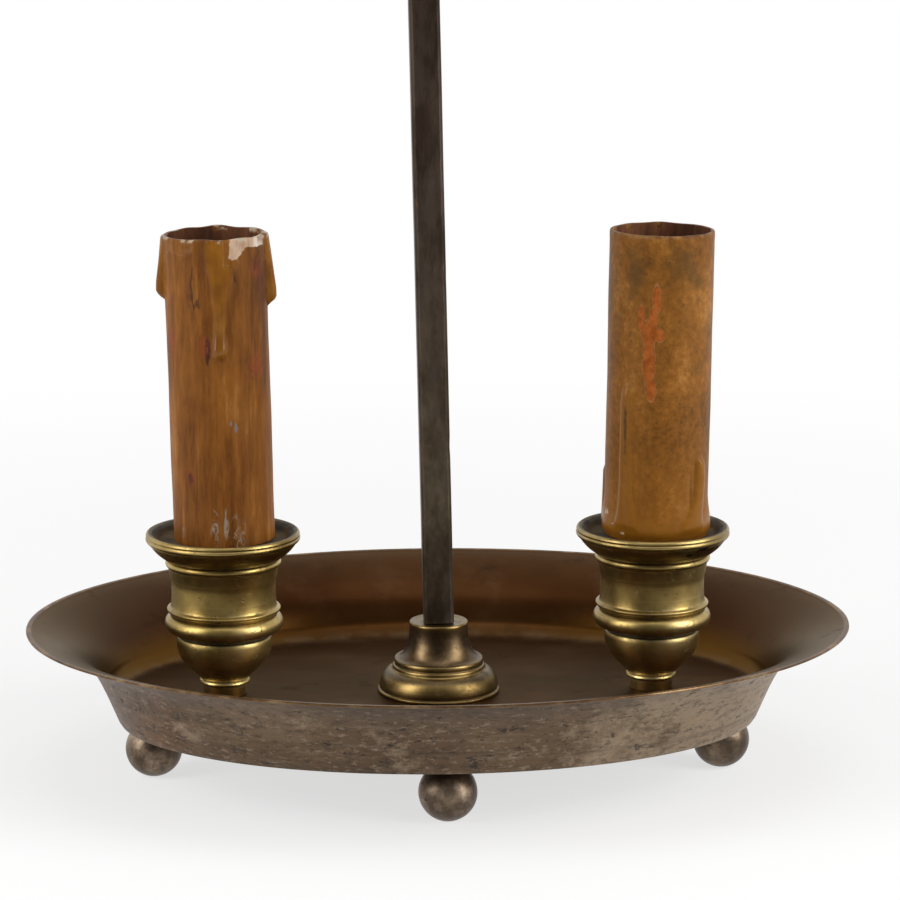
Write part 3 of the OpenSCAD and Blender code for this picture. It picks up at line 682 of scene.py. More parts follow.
def makeFeet():
    low = math.degrees(math.asin((feet["flat"] - feet["centre"]) / feet["ball"]))
    outline = [(0.6, 0.02), (1.6, 0)] + arc(0, feet["centre"], feet["ball"], low, 62, 30)
    outline += beside(feet["neck"], 0, (0.5, 17.9), (0.1, 18.3), (0.2, 18.95)) + [(feet["stud"], feet["top"])]
    outline += beside(feet["stud"], feet["studTop"], (0, -0.4), (-0.4, 0))
    ball = turn("ballFeet", outline, 64, closed=False)
    fillOpenings(ball)
    balls = []
    for i, (x, y) in enumerate(feet["places"]):
        other = copyOf(ball, "ball%d" % i)
        spots = points(other)
        side = spots * np.array([1, 1, 0.9])
        ballPart = (spots[:, 2] > 0.6 * mm) & (spots[:, 2] < 18.5 * mm)
        spots[:, :2] *= 1 + (uneven(side, 13, 20 + i) * 0.01 * ballPart)[:, None]
        setPoints(other, spots)
        other.rotation_euler = (0, 0, i * 1.7)
        other.location = (x * mm, y * mm, 0)
        setDown(other)
        balls.append(other)
    bpy.data.objects.remove(ball)
    joinInto(*balls)
    balls[0].name = "ballFeet"
    return balls[0]


ballFeet = makeFeet()
smooth(ballFeet, 40)
markHollows(ballFeet)
dress(ballFeet, footMetal())
hand(ballFeet, "lamp", "ball_feet")
print("stage: ball feet")


# cups
cup = {
    "x": 70.4, "base": 27.6, "bore": 5.05, "spigot": 7.1, "bowl": 15.7, "ring": 19.4, "ringAt": 24.2,
    "ringThick": 3.0, "waist": 17.2, "bead": 18.9, "beadAt": 44.4, "lip": 25.2, "top": 54.6, "dish": 20.5,
    "dishDeep": 2.45, "hollow": 13,
}


def cupOutline():
    c = cup
    ring, at, thick, waist, lip, top = (c[key] for key in ("ring", "ringAt", "ringThick", "waist", "lip", "top"))
    bore, spigot, bowl, bead, dish, hollow = (c[key] for key in ("bore", "spigot", "bowl", "bead", "dish", "hollow"))
    deep = top - c["dishDeep"]
    lines = [(bore, 0)]
    lines += beside(spigot, 0, (0, 0), (0, 2.9), (0.35, 3.6), (1.05, 3.95), (1.25, 4.5), (1.05, 5.05), (0.45, 5.35))
    side = [(8.0, 5.7), (9.1, 6.75), (10.4, 8.0), (11.7, 9.3), (12.9, 10.6), (13.9, 11.9), (14.7, 13.2), (15.2, 14.5),
            (15.5, 15.8), (15.65, 17.0)]
    lines += [(r + bowl - 15.7, z) for r, z in side]
    lines += beside(bowl, 0, (0, 18.2), (-0.08, 19.3), (-0.35, 19.9), (-0.75, 20.15), (-0.6, 20.9))
    lines += arc(ring - thick, at, thick, -72, 78, 16)
    lines += beside(waist, at, (0.5, 3.15), (0.5, 3.6))
    lines += beside(ring, at, (-1.15, 4.0), (-0.85, 4.3), (-0.85, 4.9), (-1.15, 5.2))
    lines += beside(waist, at, (0.25, 5.5), (0.05, 6.4), (-0.12, 8.4), (-0.2, 10.6), (-0.2, 12.8), (-0.05, 14.4),
                    (0.35, 15.6))
    lines += arc(bead - 1.3, c["beadAt"], 1.3, -70, 80, 10)
    start, end = (bead + 0.1, c["beadAt"] + 1.6), (lip - 1.0, top - 3.5)
    for i in range(9):  # the flare under the lip, sagging a little
        t = i / 8
        sag = 0.3 * math.sin(math.pi * t)
        lines.append((start[0] + (end[0] - start[0]) * t + sag, start[1] + (end[1] - start[1]) * t - sag))
    lines += beside(lip, top, (-0.95, -3.2), (-0.35, -2.95), (-0.05, -2.5), (0, -2.05), (-0.12, -1.7), (-0.32, -1.5),
                    (-0.22, -1.25), (-0.12, -0.9), (-0.3, -0.4), (-0.65, -0.08), (-1.05, 0), (-1.5, -0.12),
                    (-2.6, -0.75), (-3.4, -1.25))
    lines += [(dish + 0.5, deep + 0.35), (dish, deep), (hollow + 0.4, deep), (hollow, deep - 0.4), (hollow, 22),
              (hollow - 2, 15), (hollow - 4, 9), (bore, 9), (bore, 0)]
    return [(r, z + c["base"]) for r, z in lines]


def makeCup(name, side):
    piece = turn(name, cupOutline(), 144)
    softEdges(piece, 0.09)
    piece.rotation_euler = (0, 0, 0.7 if side > 0 else 2.4)
    piece.location = (side * cup["x"] * mm, 0, 0)
    setDown(piece)
    return piece


def paintCup(piece, side, bright, olive, shade):
    f = brass("cupBrass" + ("Right" if side > 0 else "Left"), (side * cup["x"], 0, 40), bright, olive, shade)
    x = side * cup["x"]
    flat = f.add("ShaderNodeVectorMath", {"operation": "MULTIPLY"}, {0: f.moved((x * mm, 0, 0)), 1: (1000, 1000, 0)})
    reach = f.add("ShaderNodeVectorMath", {"operation": "LENGTH"}, {0: flat}, out="Value")
    height = f.split(f.place, "Z") * 1000
    soot = f.ramp(f.noise(190, 4, 0.65), (0.35, (0.016, 0.014, 0.012)), (0.55, (0.036, 0.032, 0.028)),
                  (0.7, (0.075, 0.07, 0.064)))
    dish = f.ease(height, 79.0, 79.6) * f.ease(reach, 23.4, 22.6)
    f.lay(dish * 0.96, soot)
    f.lay(f.ease(height, 78.6, 79.2) * f.patches(0.36, 0.56, 60, 4, 0.6, shift=(x * mm, 0, 0.2)) * 0.65, shade)
    # painted reflection: a grey sheen on the lip's upward bevel, as a lamp above would give
    bevel = f.ease(height, 80.4, 81.0) * f.ease(reach, 24.6, 24.0) * f.ease(reach, 21.6, 22.2)
    bevelSheen = f.ramp(f.noise(150, 4, 0.6), (0.36, (0.055, 0.05, 0.044)), (0.62, (0.14, 0.126, 0.108)))
    f.lay(bevel * 0.85, bevelSheen)
    # painted shade: the flare under the lip is darkened a little
    underLipShade = f.ease(height, 71.2, 73.2) * f.ease(height, 78.9, 77.2) * f.ease(reach, 18.6, 19.4)
    f.lay(underLipShade * 0.12, (0.03, 0.02, 0.008))
    # painted shade: a dark band in the groove between the ring and the bowl
    grooveShade = f.ease(height, 46.8, 47.5) * f.ease(height, 49.6, 48.9)
    f.lay(grooveShade * 0.7, (0.024, 0.02, 0.015))
    if side < 0:
        pit = f.spot((x + 8.2, -23.7, 77.6), (1.5, 2.2, 1.1), 0.5, 0.6, 700)
    else:
        pit = f.spots(x, ((13.6, -18.6, 78.6), (3.4, 3, 1.2), 0.6, 0.9, 500),
                      ((9.4, -20, 76.8), (1.6, 2, 1.0), 0.5, 0.9, 500))
    f.lay(pit * 0.93, (0.01, 0.009, 0.008))
    dress(piece, f.done(f.rough + dish * 0.6 + bevel * 0.25, f.metal - dish * 0.98))


cupTones = {-1: ((0.61, 0.46, 0.19), (0.37, 0.265, 0.085), (0.165, 0.105, 0.03)),
            1: ((0.6, 0.455, 0.2), (0.35, 0.25, 0.085), (0.15, 0.098, 0.031))}
for side, name, node in ((-1, "cupLeft", "cup_left"), (1, "cupRight", "cup_right")):
    piece = makeCup(name, side)
    smooth(piece, 35)
    markHollows(piece, 3)
    paintCup(piece, side, *cupTones[side])
    hand(piece, "lamp", node)
print("stage: two cups")


# stem base, stem and finial
stemBase = {"base": 27.6, "disc": 20.1, "bell": 14.5, "collar": 9.6, "height": 23.5, "bore": 3.1}
stem = {"width": 9.8, "bevel": 1.0, "length": 396, "lean": -1.3, "seat": 51.1, "foot": 50.85, "tail": 3.0,
        "tailLow": 20.8, "tailTop": 51.4, "peg": 15}
finial = {"height": 30, "radius": 8.5, "bore": 3.05, "hole": 15.4}


def onStem(piece, up=0):  # raises a piece along Z, then leans it with the stem from its seat
    piece.location.z = up * mm
    setDown(piece)
    piece.rotation_euler = (0, math.radians(stem["lean"]), 0)
    piece.location = (0, 0, stem["seat"] * mm)
    setDown(piece)


def makeStemBase():
    s = stemBase
    r, bell, c, h = s["disc"], s["bell"], s["collar"], s["height"]
    lines = [(s["bore"], 0)] + beside(r, 0, (-0.1, 0), (0, 0.15), (0, 0.75), (-0.25, 1.0), (-0.75, 1.15))
    lines += [(15.4 + (r - 15.9) * math.cos(math.radians(a)), 1.35 + 6.2 * math.sin(math.radians(a)))
              for a in range(4, 91, 6)]
    lines += [(15.45, 7.7), (15.15, 7.95), (15.2, 8.6), (15.0, 8.95), (14.55, 9.1)]
    lines += beside(bell, 0, (0, 9.4), (0.12, 9.8), (0.12, 10.7), (-0.1, 11.1))
    lines += [(bell - 0.6 - (bell - 0.6 - c) * math.sin(math.radians(a)),
               h - 1.4 - (h - 12.6) * math.cos(math.radians(a))) for a in range(0, 91, 6)]
    lines += beside(c, h, (0.02, -0.9), (-0.02, -0.35), (-0.25, -0.06), (-0.6, 0), (-1.9, -0.25), (-2.4, -0.3))
    lines += [(s["bore"] + 1.2, h - 0.3), (s["bore"], h - 0.3), (s["bore"], 0)]
    piece = turn("stemBaseTurned", [(a, b + s["base"]) for a, b in lines], 128)
    softEdges(piece, 0.08)
    return piece


def makeStem():
    h = stem["width"] / 2
    bpy.ops.object.select_all(action="DESELECT")
    bpy.ops.mesh.primitive_cube_add(size=1, location=(0, 0, stem["length"] / 2 * mm))
    bar = bpy.context.object
    bar.name = "stemBar"
    bar.scale = (stem["width"] * mm, stem["width"] * mm, stem["length"] * mm)
    setDown(bar)
    pickEdges(bar, lambda a, b: abs(a.z - b.z) > 0.1)
    bpy.ops.mesh.bevel(offset=stem["bevel"] * mm, segments=1, affect="EDGES")
    closeMesh()
    pickEdges(bar, lambda a, b: abs(a.z - b.z) > 0.1)
    bpy.ops.mesh.subdivide(number_cuts=260)
    closeMesh()
    softEdges(bar, 0.16, 30)
    spots = points(bar)
    keep = (spots[:, 2] > 1 * mm) & (spots[:, 2] < (stem["length"] - 1) * mm)
    wave = uneven(spots * np.array([0.3, 0.3, 1]), 46, 5) * 0.05 * mm
    knock = np.maximum(uneven(spots * np.array([2, 2, 1]), 17, 6) - 0.75, 0) * 0.35 * mm
    spots[:, :2] *= (1 - knock * keep / (0.5 * stem["width"] * mm))[:, None]
    spots[:, 0] += wave * keep
    setPoints(bar, spots)
    onStem(bar)
    spots = points(bar)
    spots[:, 2] = np.maximum(spots[:, 2], stem["foot"] * mm)
    setPoints(bar, spots)
    tail = turn("stemTail", [(2.4, stem["tailLow"]), (stem["tail"], stem["tailLow"] + 0.5),
                             (stem["tail"], stem["tailTop"])], 48, closed=False)
    fillOpenings(tail, turned=False)
    peg = turn("stemPeg", [(stem["tail"], -1), (stem["tail"], stem["peg"] - 0.4), (stem["tail"] - 0.4, stem["peg"])],
               48, closed=False)
    fillOpenings(peg, turned=False)
    onStem(peg, stem["length"])
    return joinInto(bar, tail, peg)


def makeFinial():
    r, h = finial["radius"], finial["height"]
    lines = [(finial["bore"], 0)]
    lines += beside(r, 0, (-1.1, 0), (-0.9, 0.2), (-0.9, 1.7), (-1.2, 2.0), (-2.6, 2.6), (-3.6, 3.4), (-4.4, 4.6))
    lines += [(3.9, 5.9), (4.1, 6.6), (4.7, 6.9)]
    lines += arc(0.3, 0.58 * h, r - 0.3, -52, 66, 22, 0.32 * h)
    lines += [(2.6, 0.905 * h), (2.2, 0.925 * h), (2.5, 0.95 * h), (2.5, 0.972 * h), (1.9, 0.99 * h), (0.9, h),
              (0.25, h)]
    piece = turn("finialTurned", lines, 72, closed=False)
    pickPoints(piece, lambda v: v.z > (h - 0.05) * mm and math.hypot(v.x, v.y) < 0.4 * mm)
    bpy.ops.mesh.merge(type="CENTER")
    bpy.ops.mesh.select_all(action="DESELECT")
    bpy.ops.mesh.select_non_manifold()
    bpy.ops.mesh.extrude_edges_move(TRANSFORM_OT_translate={"value": (0, 0, finial["hole"] * mm)})
    bpy.ops.mesh.edge_face_add()
    bpy.ops.mesh.select_all(action="SELECT")
    bpy.ops.mesh.normals_make_consistent(inside=False)
    closeMesh()
    softEdges(piece, 0.08)
    onStem(piece, stem["length"])
    return piece


def paintStemBase(piece):
    f = brass("baseBrass", (0, 0, 38), (0.34, 0.235, 0.085), (0.18, 0.118, 0.04), (0.085, 0.052, 0.02))
    height = f.split(f.place, "Z") * 1000
    bell = f.ease(height, 38.0, 39.4) * f.ease(height, 50.4, 48.6)
    patina = f.ramp(f.noise(120, 5, 0.7), (0.34, (0.045, 0.028, 0.018)), (0.52, (0.085, 0.056, 0.036)),
                    (0.68, (0.18, 0.128, 0.076)))
    f.lay(bell * 0.8, patina)
    ledge = f.ease(height, 35.4, 34.6) * f.ease(height, 33.0, 34.2)
    f.lay(ledge * 0.6, (0.042, 0.033, 0.028))
    f.feed("Base Color", f.ground)
    dress(piece, f)


stemBaseTurned = makeStemBase()
smooth(stemBaseTurned, 35)
markHollows(stemBaseTurned, 3)
paintStemBase(stemBaseTurned)
hand(stemBaseTurned, "lamp", "stem_base")

stemBar = makeStem()
smooth(stemBar, 30)
markHollows(stemBar, 1)
dress(stemBar, stemMetal())
hand(stemBar, "lamp", "stem")

finialTurned = makeFinial()
smooth(finialTurned, 35)
markHollows(finialTurned, 3)
finialBrass = brass("finialBrass", (-10, 0, 460), (0.39, 0.27, 0.075), (0.215, 0.138, 0.03), (0.1, 0.058, 0.013))
dress(finialTurned, finialBrass)
hand(finialTurned, "lamp", "finial")
print("stage: stem, its base and finial")


# candle sleeves
# marks is the x that the stains are placed from
sleeveBoth = {"length": 100.4, "card": 1.3, "low": 79.75, "around": 288, "up": 200}
sleeves = {
    "left": {"side": -1, "radius": 16.4, "lean": 1.2, "shift": 0.6, "marks": -70.85, **sleeveBoth},
    "right": {"side": 1, "radius": 16.9, "lean": 0.6, "shift": 0.9, "marks": 71.8, **sleeveBoth},
}
# wax runs: angle round the sleeve, then points of (height, half width, how far it stands out, any sideways drift)
waxRuns = {
    "left": (
        (183, ((101, 4.2, 0.7), (97, 3.4, 1.1), (92, 2.5, 1.7), (85, 2.2, 2.7), (82, 2.1, 2.8), (80.3, 1.3, 1.7),
               (79.7, 0.5, 0.4))),
        (-4, ((101, 4.2, 0.8), (97, 3.4, 1.3), (91, 2.5, 2.0), (82, 2.3, 3.0), (79, 2.2, 3.0), (77.5, 1.4, 1.9),
              (76.9, 0.5, 0.5))),
        (-90, ((101, 8.5, 0.5, 2.9), (96, 7.0, 0.75, 2.6), (90, 4.4, 1.0, 1.9), (84, 2.7, 1.15, 1.4),
               (76, 2.0, 1.1, 1.1), (70, 1.8, 1.1, 0.9), (66, 2.2, 1.6, 0.7), (63.8, 2.4, 2.0, 0.6),
               (62.4, 1.5, 1.3, 0.6), (61.9, 0.5, 0.3, 0.6))),
        (40, ((101, 5.0, 1.0), (95, 3.0, 1.4), (86, 2.2, 1.5), (80, 2.3, 1.9), (78, 1.2, 0.8))),
        (98, ((101, 6.0, 0.9), (94, 3.6, 1.1), (80, 2.2, 1.2), (68, 2.0, 1.3), (63, 2.3, 1.8), (61, 1.1, 0.8))),
        (142, ((101, 4.0, 0.9), (95, 2.6, 1.2), (90, 2.2, 1.4), (88, 1.1, 0.6))),
    ),
    "right": (
        (226, ((51, 1.0, 0.4), (49, 2.0, 1.1), (44, 2.3, 1.15), (30, 2.5, 1.1, 0.1), (16, 2.9, 1.3, 0.3),
               (9, 3.8, 1.6, 0.6), (4, 6.0, 1.7, 1.0))),
        (233, ((49.5, 0.8, 0.3), (48, 1.6, 0.8), (40, 1.9, 0.5), (30, 2.2, 0.45), (15, 2.6, 0.5), (5, 3.4, 0.8))),
        (317, ((27.5, 0.9, 0.5), (26, 2.0, 1.6), (20, 2.4, 1.9), (14, 2.5, 1.8, -0.5), (8, 3.8, 1.6, -1.8),
               (3, 6.4, 1.5, -3.2))),
        (30, ((38, 0.9, 0.4), (36, 1.8, 1.2), (22, 2.1, 1.2), (8, 3.2, 1.4), (3, 5.0, 1.4))),
        (105, ((62, 0.9, 0.4), (60, 1.8, 1.2), (40, 2.0, 1.1, 0.4), (18, 2.4, 1.2, 0.6), (6, 4.0, 1.5, 0.8),
               (2, 6.0, 1.5, 0.8))),
        (160, ((22, 0.9, 0.4), (20, 1.8, 1.1), (8, 2.9, 1.3), (3, 5.0, 1.4))),
    ),
}


def runHeight(angle, height, radius, run):
    at, keys = run
    keys = sorted(keys)
    levels = [k[0] for k in keys]
    half, out, drift = (np.interp(height, levels, [(*k, 0)[i] for k in keys]) for i in (1, 2, 3))
    inside = (height >= levels[0]) & (height <= levels[-1])
    away = (np.degrees(angle) - at + 180) % 360 - 180
    across = (np.radians(away) * radius - drift) / half
    lump = np.sqrt(np.maximum(1 - across ** 2, 0)) * out
    skirt = np.exp(-((np.abs(across) - 0.9) / 0.28) ** 2) * 0.1 * (np.abs(across) > 0.9)
    return np.where(inside, np.maximum(lump, skirt * out), 0)


def makeSleeve(key):
    s = sleeves[key]
    r, length, inner = s["radius"], s["length"], s["radius"] - s["card"]
    outline = [(r, 0)] + beside(r, length, (0, -0.45), (-0.06, -0.2), (-0.2, -0.05), (-0.45, 0))
    outline += beside(inner, length, (0.35, 0), (0.1, -0.1), (0, -0.35), (0, -30)) + [(inner, 0), (r, 0)]
    piece = turn(key + "SleeveWax", outline, s["around"])
    pickEdges(piece, lambda a, b: abs(a.z - b.z) > 60 * mm and math.hypot(a.x, a.y) > (r - 0.5) * mm)
    bpy.ops.mesh.subdivide(number_cuts=s["up"])
    closeMesh()
    spots = points(piece) / mm
    angle = np.arctan2(spots[:, 1], spots[:, 0])
    reach = np.hypot(spots[:, 0], spots[:, 1])
    height = spots[:, 2]
    skin = reach > r - 0.7
    top = np.clip((height - length + 0.5) / 0.5, 0, 1)
    wax = np.zeros(len(spots))
    for run in waxRuns[key]:
        wax = np.maximum(wax, runHeight(angle, np.minimum(height, length), r, run))
    rough = uneven(spots * mm * np.array([1, 1, 0.12]), 4.5, 31) * 0.035 + uneven(spots * mm, 24, 32) * 0.09
    if key == "left":
        band = np.interp(height, [94.0, 95.5, 98.0, 99.8, 100.4], [0, 0.18, 0.38, 0.52, 0.3])
        band *= 0.75 + 0.25 * uneven(spots * mm, 9, 33)
        chipFoot = 92.5 + 0.09 * (np.degrees(angle) + 70) + 1.1 * uneven(spots * mm, 5, 34)
        chip = (np.abs(np.degrees(angle) + 58) < 23) & (height > chipFoot)
        wax = np.where(chip, 0.0, np.maximum(wax, band))
    else:
        pool = np.interp(height, [1.0, 1.6, 3.5, 6.5, 10.0, 13.0], [0.2, 0.75, 1.05, 0.75, 0.25, 0])
        pool *= 0.85 + 0.35 * uneven(spots * mm * np.array([1, 1, 0.6]), 11, 35)
        lip = np.interp(height, [97.4, 98.6, 100.4], [0, 0.12, 0.0])
        wax = np.maximum(np.maximum(wax, pool), lip)
        wax = wax * (height > 1.0)
    out = np.where(skin, (wax + rough) * (1 - top * 0.7), 0)
    spots[:, :2] *= ((reach + out) / np.maximum(reach, 1e-6))[:, None]
    rim = np.clip((height - length + 1.5) / 1.5, 0, 1)
    wave, sink = (0.35, 0.4) if key == "left" else (0.16, 0.2)
    spots[:, 2] += rim * (uneven(spots * mm * np.array([1, 1, 0.05]), 12, 36) * wave - sink)
    setPoints(piece, spots * mm)
    useModifier(piece, "SMOOTH", factor=0.4, iterations=1)
    piece.rotation_euler = (0, math.radians(s["side"] * s["lean"]), 0)
    lift = math.tan(math.radians(s["lean"])) * r
    piece.location = ((s["side"] * cup["x"] + s["shift"]) * mm, 0, (s["low"] + lift) * mm)
    setDown(piece)
    layer = piece.data.attributes.new("wax", "FLOAT", "POINT")
    layer.data.foreach_set("value", np.where(skin, wax, 0))
    return piece


def waxLeft(x):  # worn wax over brown card, streaked
    f = Finish("streakedWax", {"Coat Roughness": 0.14, "Specular IOR Level": 0.16,
                               "Specular Tint": (0.92, 0.76, 0.55, 1)})
    at = (x * mm, 0, 0)
    wax = f.read("wax")
    height = f.split(f.place, "Z") * 1000
    grain = f.noise(330, 5, 0.75, stretch=(1, 1, 0.12), shift=at)
    cloud = f.noise(60, 4, 0.6, stretch=(1, 1, 0.45), shift=at)
    f.ground = f.ramp(cloud * 0.5 + grain * 0.5, (0.36, (0.074, 0.024, 0.004)), (0.46, (0.142, 0.047, 0.007)),
                      (0.56, (0.212, 0.076, 0.012)), (0.66, (0.32, 0.14, 0.034)))
    dark = f.patches(0.56, 0.68, 210, 4, 0.65, stretch=(1, 1, 0.06), shift=(0.4, 0.2, 0))
    f.lay(dark * 0.55, (0.07, 0.026, 0.009))
    purple = f.patches(0.55, 0.68, 95, 4, 0.65, stretch=(1, 1, 0.22), shift=(0.1, 0.6, 0.2))
    purple = purple * f.ease(height, 125, 150)
    f.lay(purple * 0.45, (0.085, 0.028, 0.014))
    red = f.spots(
        x, ((12.2, -11.5, 139), (4.6, 8, 5.6), 0.8, 1.4, 520), ((-4.2, -15.9, 146), (3.2, 6, 5), 0.7, 1.4, 520),
        ((-14.8, -7.5, 146), (2.4, 6, 7), 0.8, 1.2, 520), ((-9.5, -13.5, 103), (2.4, 6, 4.2), 0.8, 1.3, 520),
        ((12.4, -10.8, 170.5), (2.6, 6, 5), 0.8, 1.3, 520))
    f.lay(red * 0.75, (0.2, 0.046, 0.014))
    redDark = red * f.patches(0.49, 0.6, 420, 4, 0.7, stretch=(1, 1, 0.4))
    f.lay(redDark * 0.85, (0.058, 0.019, 0.013))
    split = f.spots(
        x, ((-7.4, -14.8, 164), (2.6, 6, 12), 0.8, 1.1, 420), ((-3.4, -16.2, 142), (1.1, 5, 8), 0.6, 0.9, 420),
        ((6.0, -15.4, 169), (2.0, 5, 3.4), 0.7, 1.2, 420))
    split = split * f.ease(abs(f.noise(250, 3, 0.6, stretch=(1, 1, 0.16), shift=(0.8, 0.2, 0)) - 0.5), 0.055, 0.02)
    f.lay(split * 0.9, (0.04, 0.014, 0.01))
    coat = f.ease(wax, 0.25, 0.7)
    f.lay(coat * 0.75, f.ramp(f.noise(120, 3, 0.5), (0.35, (0.15, 0.052, 0.003)), (0.65, (0.25, 0.1, 0.008))))
    pale = f.ease(wax, 0.02, 0.12) * f.ease(wax, 0.42, 0.22) * f.patches(0.46, 0.62, 300, 3, 0.6)
    pale = pale * f.ease(height, 130, 150)
    f.lay(pale * 0.15, (0.4, 0.25, 0.13))
    lines = abs(f.noise(190, 2, 0.5, stretch=(1, 1, 0.32), shift=(0.2, 0, 0.1), twist=1.6) - 0.5)
    low = f.ease(height, 103, 95) * f.patches(0.44, 0.56, 90, 3, 0.6, shift=(0.9, 0.1, 0))
    low = low * f.spots(
        x, ((-2.0, -16.4, 86), (2.0, 6, 8), 0.4), ((1.8, -16.4, 88), (1.1, 6, 6), 0.4),
        ((5.6, -15.8, 84.5), (3.0, 6, 8), 0.4), ((-12, -11, 83), (1.6, 5, 4), 0.4))
    scratch = f.ease(lines, 0.04, 0.016) * low
    f.lay(scratch * 0.75, (0.26, 0.215, 0.16))
    cracks = f.ease(abs(f.noise(330, 3, 0.6, stretch=(1, 1, 0.5), shift=(0.7, 0, 0)) - 0.5), 0.022, 0.008)
    cracks = cracks * low * f.ease(height, 92, 84)
    f.lay(cracks * 0.4, (0.34, 0.3, 0.24))
    nick = f.spots(
        x, ((5.2, -15.8, 119.4), (0.7, 3, 2.0), 0.5, 0.9, 900), ((3.6, -16, 121), (0.5, 3, 1.1), 0.5, 0.9, 900))
    f.lay(nick * 0.8, (0.16, 0.15, 0.15))
    across = f.split(f.place, "X") * 1000 - x
    ragged = f.noise(330, 3, 0.6, shift=(0.6, 0.3, 0)) - 0.5
    chipFoot = 173.6 + f.ease(across + ragged * 4, 5.5, 9.5) * 3.4 + ragged * 2.6
    chip = f.ease(height - chipFoot, 0, 0.25) * f.ease(across + ragged * 1.6, 3.6, 3.9) * f.ease(across, 14.6, 14.2)
    chip = chip * f.ease(f.split(f.place, "Y") * 1000, -5, -6) * f.ease(wax, 0.4, 0.15)
    peel = f.ramp(f.noise(360, 4, 0.7, stretch=(1, 1, 0.3)), (0.36, (0.4, 0.25, 0.165)), (0.62, (0.56, 0.4, 0.29)))
    peel = f.tint(f.ease(across, 11.2, 12.0) * 0.8, peel, (0.74, 0.66, 0.56))
    f.lay(chip * 0.97, peel)
    rim = f.ease(height, 178.6, 179.8) * f.patches(0.5, 0.6, 260, 3, 0.6, shift=(0.5, 0, 0))
    f.lay(rim * 0.75, (0.5, 0.44, 0.33))
    f.feed("Coat Weight", coat * 0.3 * f.ease(height, 160, 146))
    return f.done(0.52 - coat * 0.18 + chip * 0.3 + dark * 0.1, 0, (grain, 0.1), (dark, -0.1), (scratch, -0.12),
                  (red, -0.08))


def waxRight(x):  # smooth ochre wax with a rubbed red flaw
    f = Finish("ochreWax", {"Coat Roughness": 0.25, "Specular IOR Level": 0.17,
                            "Specular Tint": (0.92, 0.76, 0.55, 1)})
    at = (x * mm, 0, 0)
    wax = f.read("wax")
    height = f.split(f.place, "Z") * 1000
    cloud = f.noise(52, 4, 0.6, stretch=(1, 1, 0.7), shift=at)
    fine = f.noise(480, 4, 0.7, shift=at)
    f.ground = f.ramp(cloud * 0.6 + fine * 0.4, (0.37, (0.086, 0.034, 0.004)), (0.47, (0.16, 0.06, 0.008)),
                      (0.57, (0.23, 0.089, 0.013)), (0.68, (0.33, 0.15, 0.034)))
    smoke = f.patches(0.5, 0.66, 48, 4, 0.6, shift=(0.3, 0.4, 0.1)) * f.ease(height, 118, 140)
    f.lay(smoke * 0.6, (0.064, 0.034, 0.009))
    specks = f.patches(0.58, 0.67, 600, 4, 0.75, shift=(0.2, 0, 0))
    f.lay(specks * 0.6, (0.055, 0.028, 0.01))
    warm = f.ease(height, 118, 90)
    f.lay(warm * 0.35, (0.215, 0.078, 0.005))
    coat = f.ease(wax, 0.25, 0.7)
    f.lay(coat * 0.6, (0.215, 0.082, 0.005))
    shapes = (((-2.9, 159.6), (1.7, 5.4)), ((-3.8, 154.0), (1.5, 4.2)), ((-5.3, 148.8), (2.7, 5.4)),
              ((-7.7, 153.8), (1.3, 4.4)), ((-2.0, 148.4), (2.1, 2.6)), ((-5.2, 139.5), (2.2, 9.0)),
              ((-4.5, 130.6), (1.9, 4.2)))
    flaw = f.most(*(f.spot((x + a, -16, z), (wide, 6, tall), 0.24, 0.85, 420) for (a, z), (wide, tall) in shapes))
    f.lay(flaw * 0.9, f.ramp(f.noise(360, 4, 0.6), (0.36, (0.225, 0.05, 0.006)), (0.62, (0.36, 0.1, 0.018))))
    ring = f.ease(abs(flaw - 0.35), 0.35, 0.15)
    f.lay(ring * 0.35, (0.4, 0.22, 0.1))
    chips = f.spots(
        x, ((-15.2, -7.4, 85), (0.9, 2.5, 0.7), 0.4, 1.2, 900),
        ((-12.6, -11.4, 82.6), (1.1, 2.5, 0.6), 0.4, 1.2, 900), ((-16.6, -3.5, 88), (1.0, 2.5, 1.8), 0.4, 1.2, 900))
    f.lay(chips * 0.8, (0.62, 0.54, 0.44))
    # painted shade: a dark line in the crease between two wax ridges, and a painted shadow left of the thick drip
    grooveShade = f.most(f.spot((x - 12.2, -10.5, 117), (0.75, 5, 15), 0.5, 0.9, 600),
                    f.spot((x + 9.2, -13.6, 97), (0.7, 5, 8), 0.7, 0.5, 500) * 0.6)
    f.lay(grooveShade * 0.8, (0.034, 0.019, 0.006))
    top = f.ease(height, 178.6, 179.9)
    f.lay(top * 0.7, f.ramp(f.noise(300, 4, 0.6), (0.38, (0.085, 0.026, 0.012)), (0.6, (0.3, 0.16, 0.06))))
    f.feed("Coat Weight", coat * 0.1)
    return f.done(0.48 - coat * 0.12 + flaw * 0.08, 0, (cloud, 0.12), (fine, 0.03), (flaw, -0.25))


def sleeveCard():  # bare card inside a sleeve
    f = Finish("brownCard", {"Specular IOR Level": 0.25})
    grain = f.noise(240, 4, 0.7, stretch=(1, 1, 0.15))
    f.ground = f.ramp(grain, (0.34, (0.05, 0.018, 0.008)), (0.5, (0.105, 0.036, 0.014)),
                      (0.68, (0.165, 0.062, 0.024)))
    return f.done(0.75 + grain * 0.15, 0, (grain, 0.12))


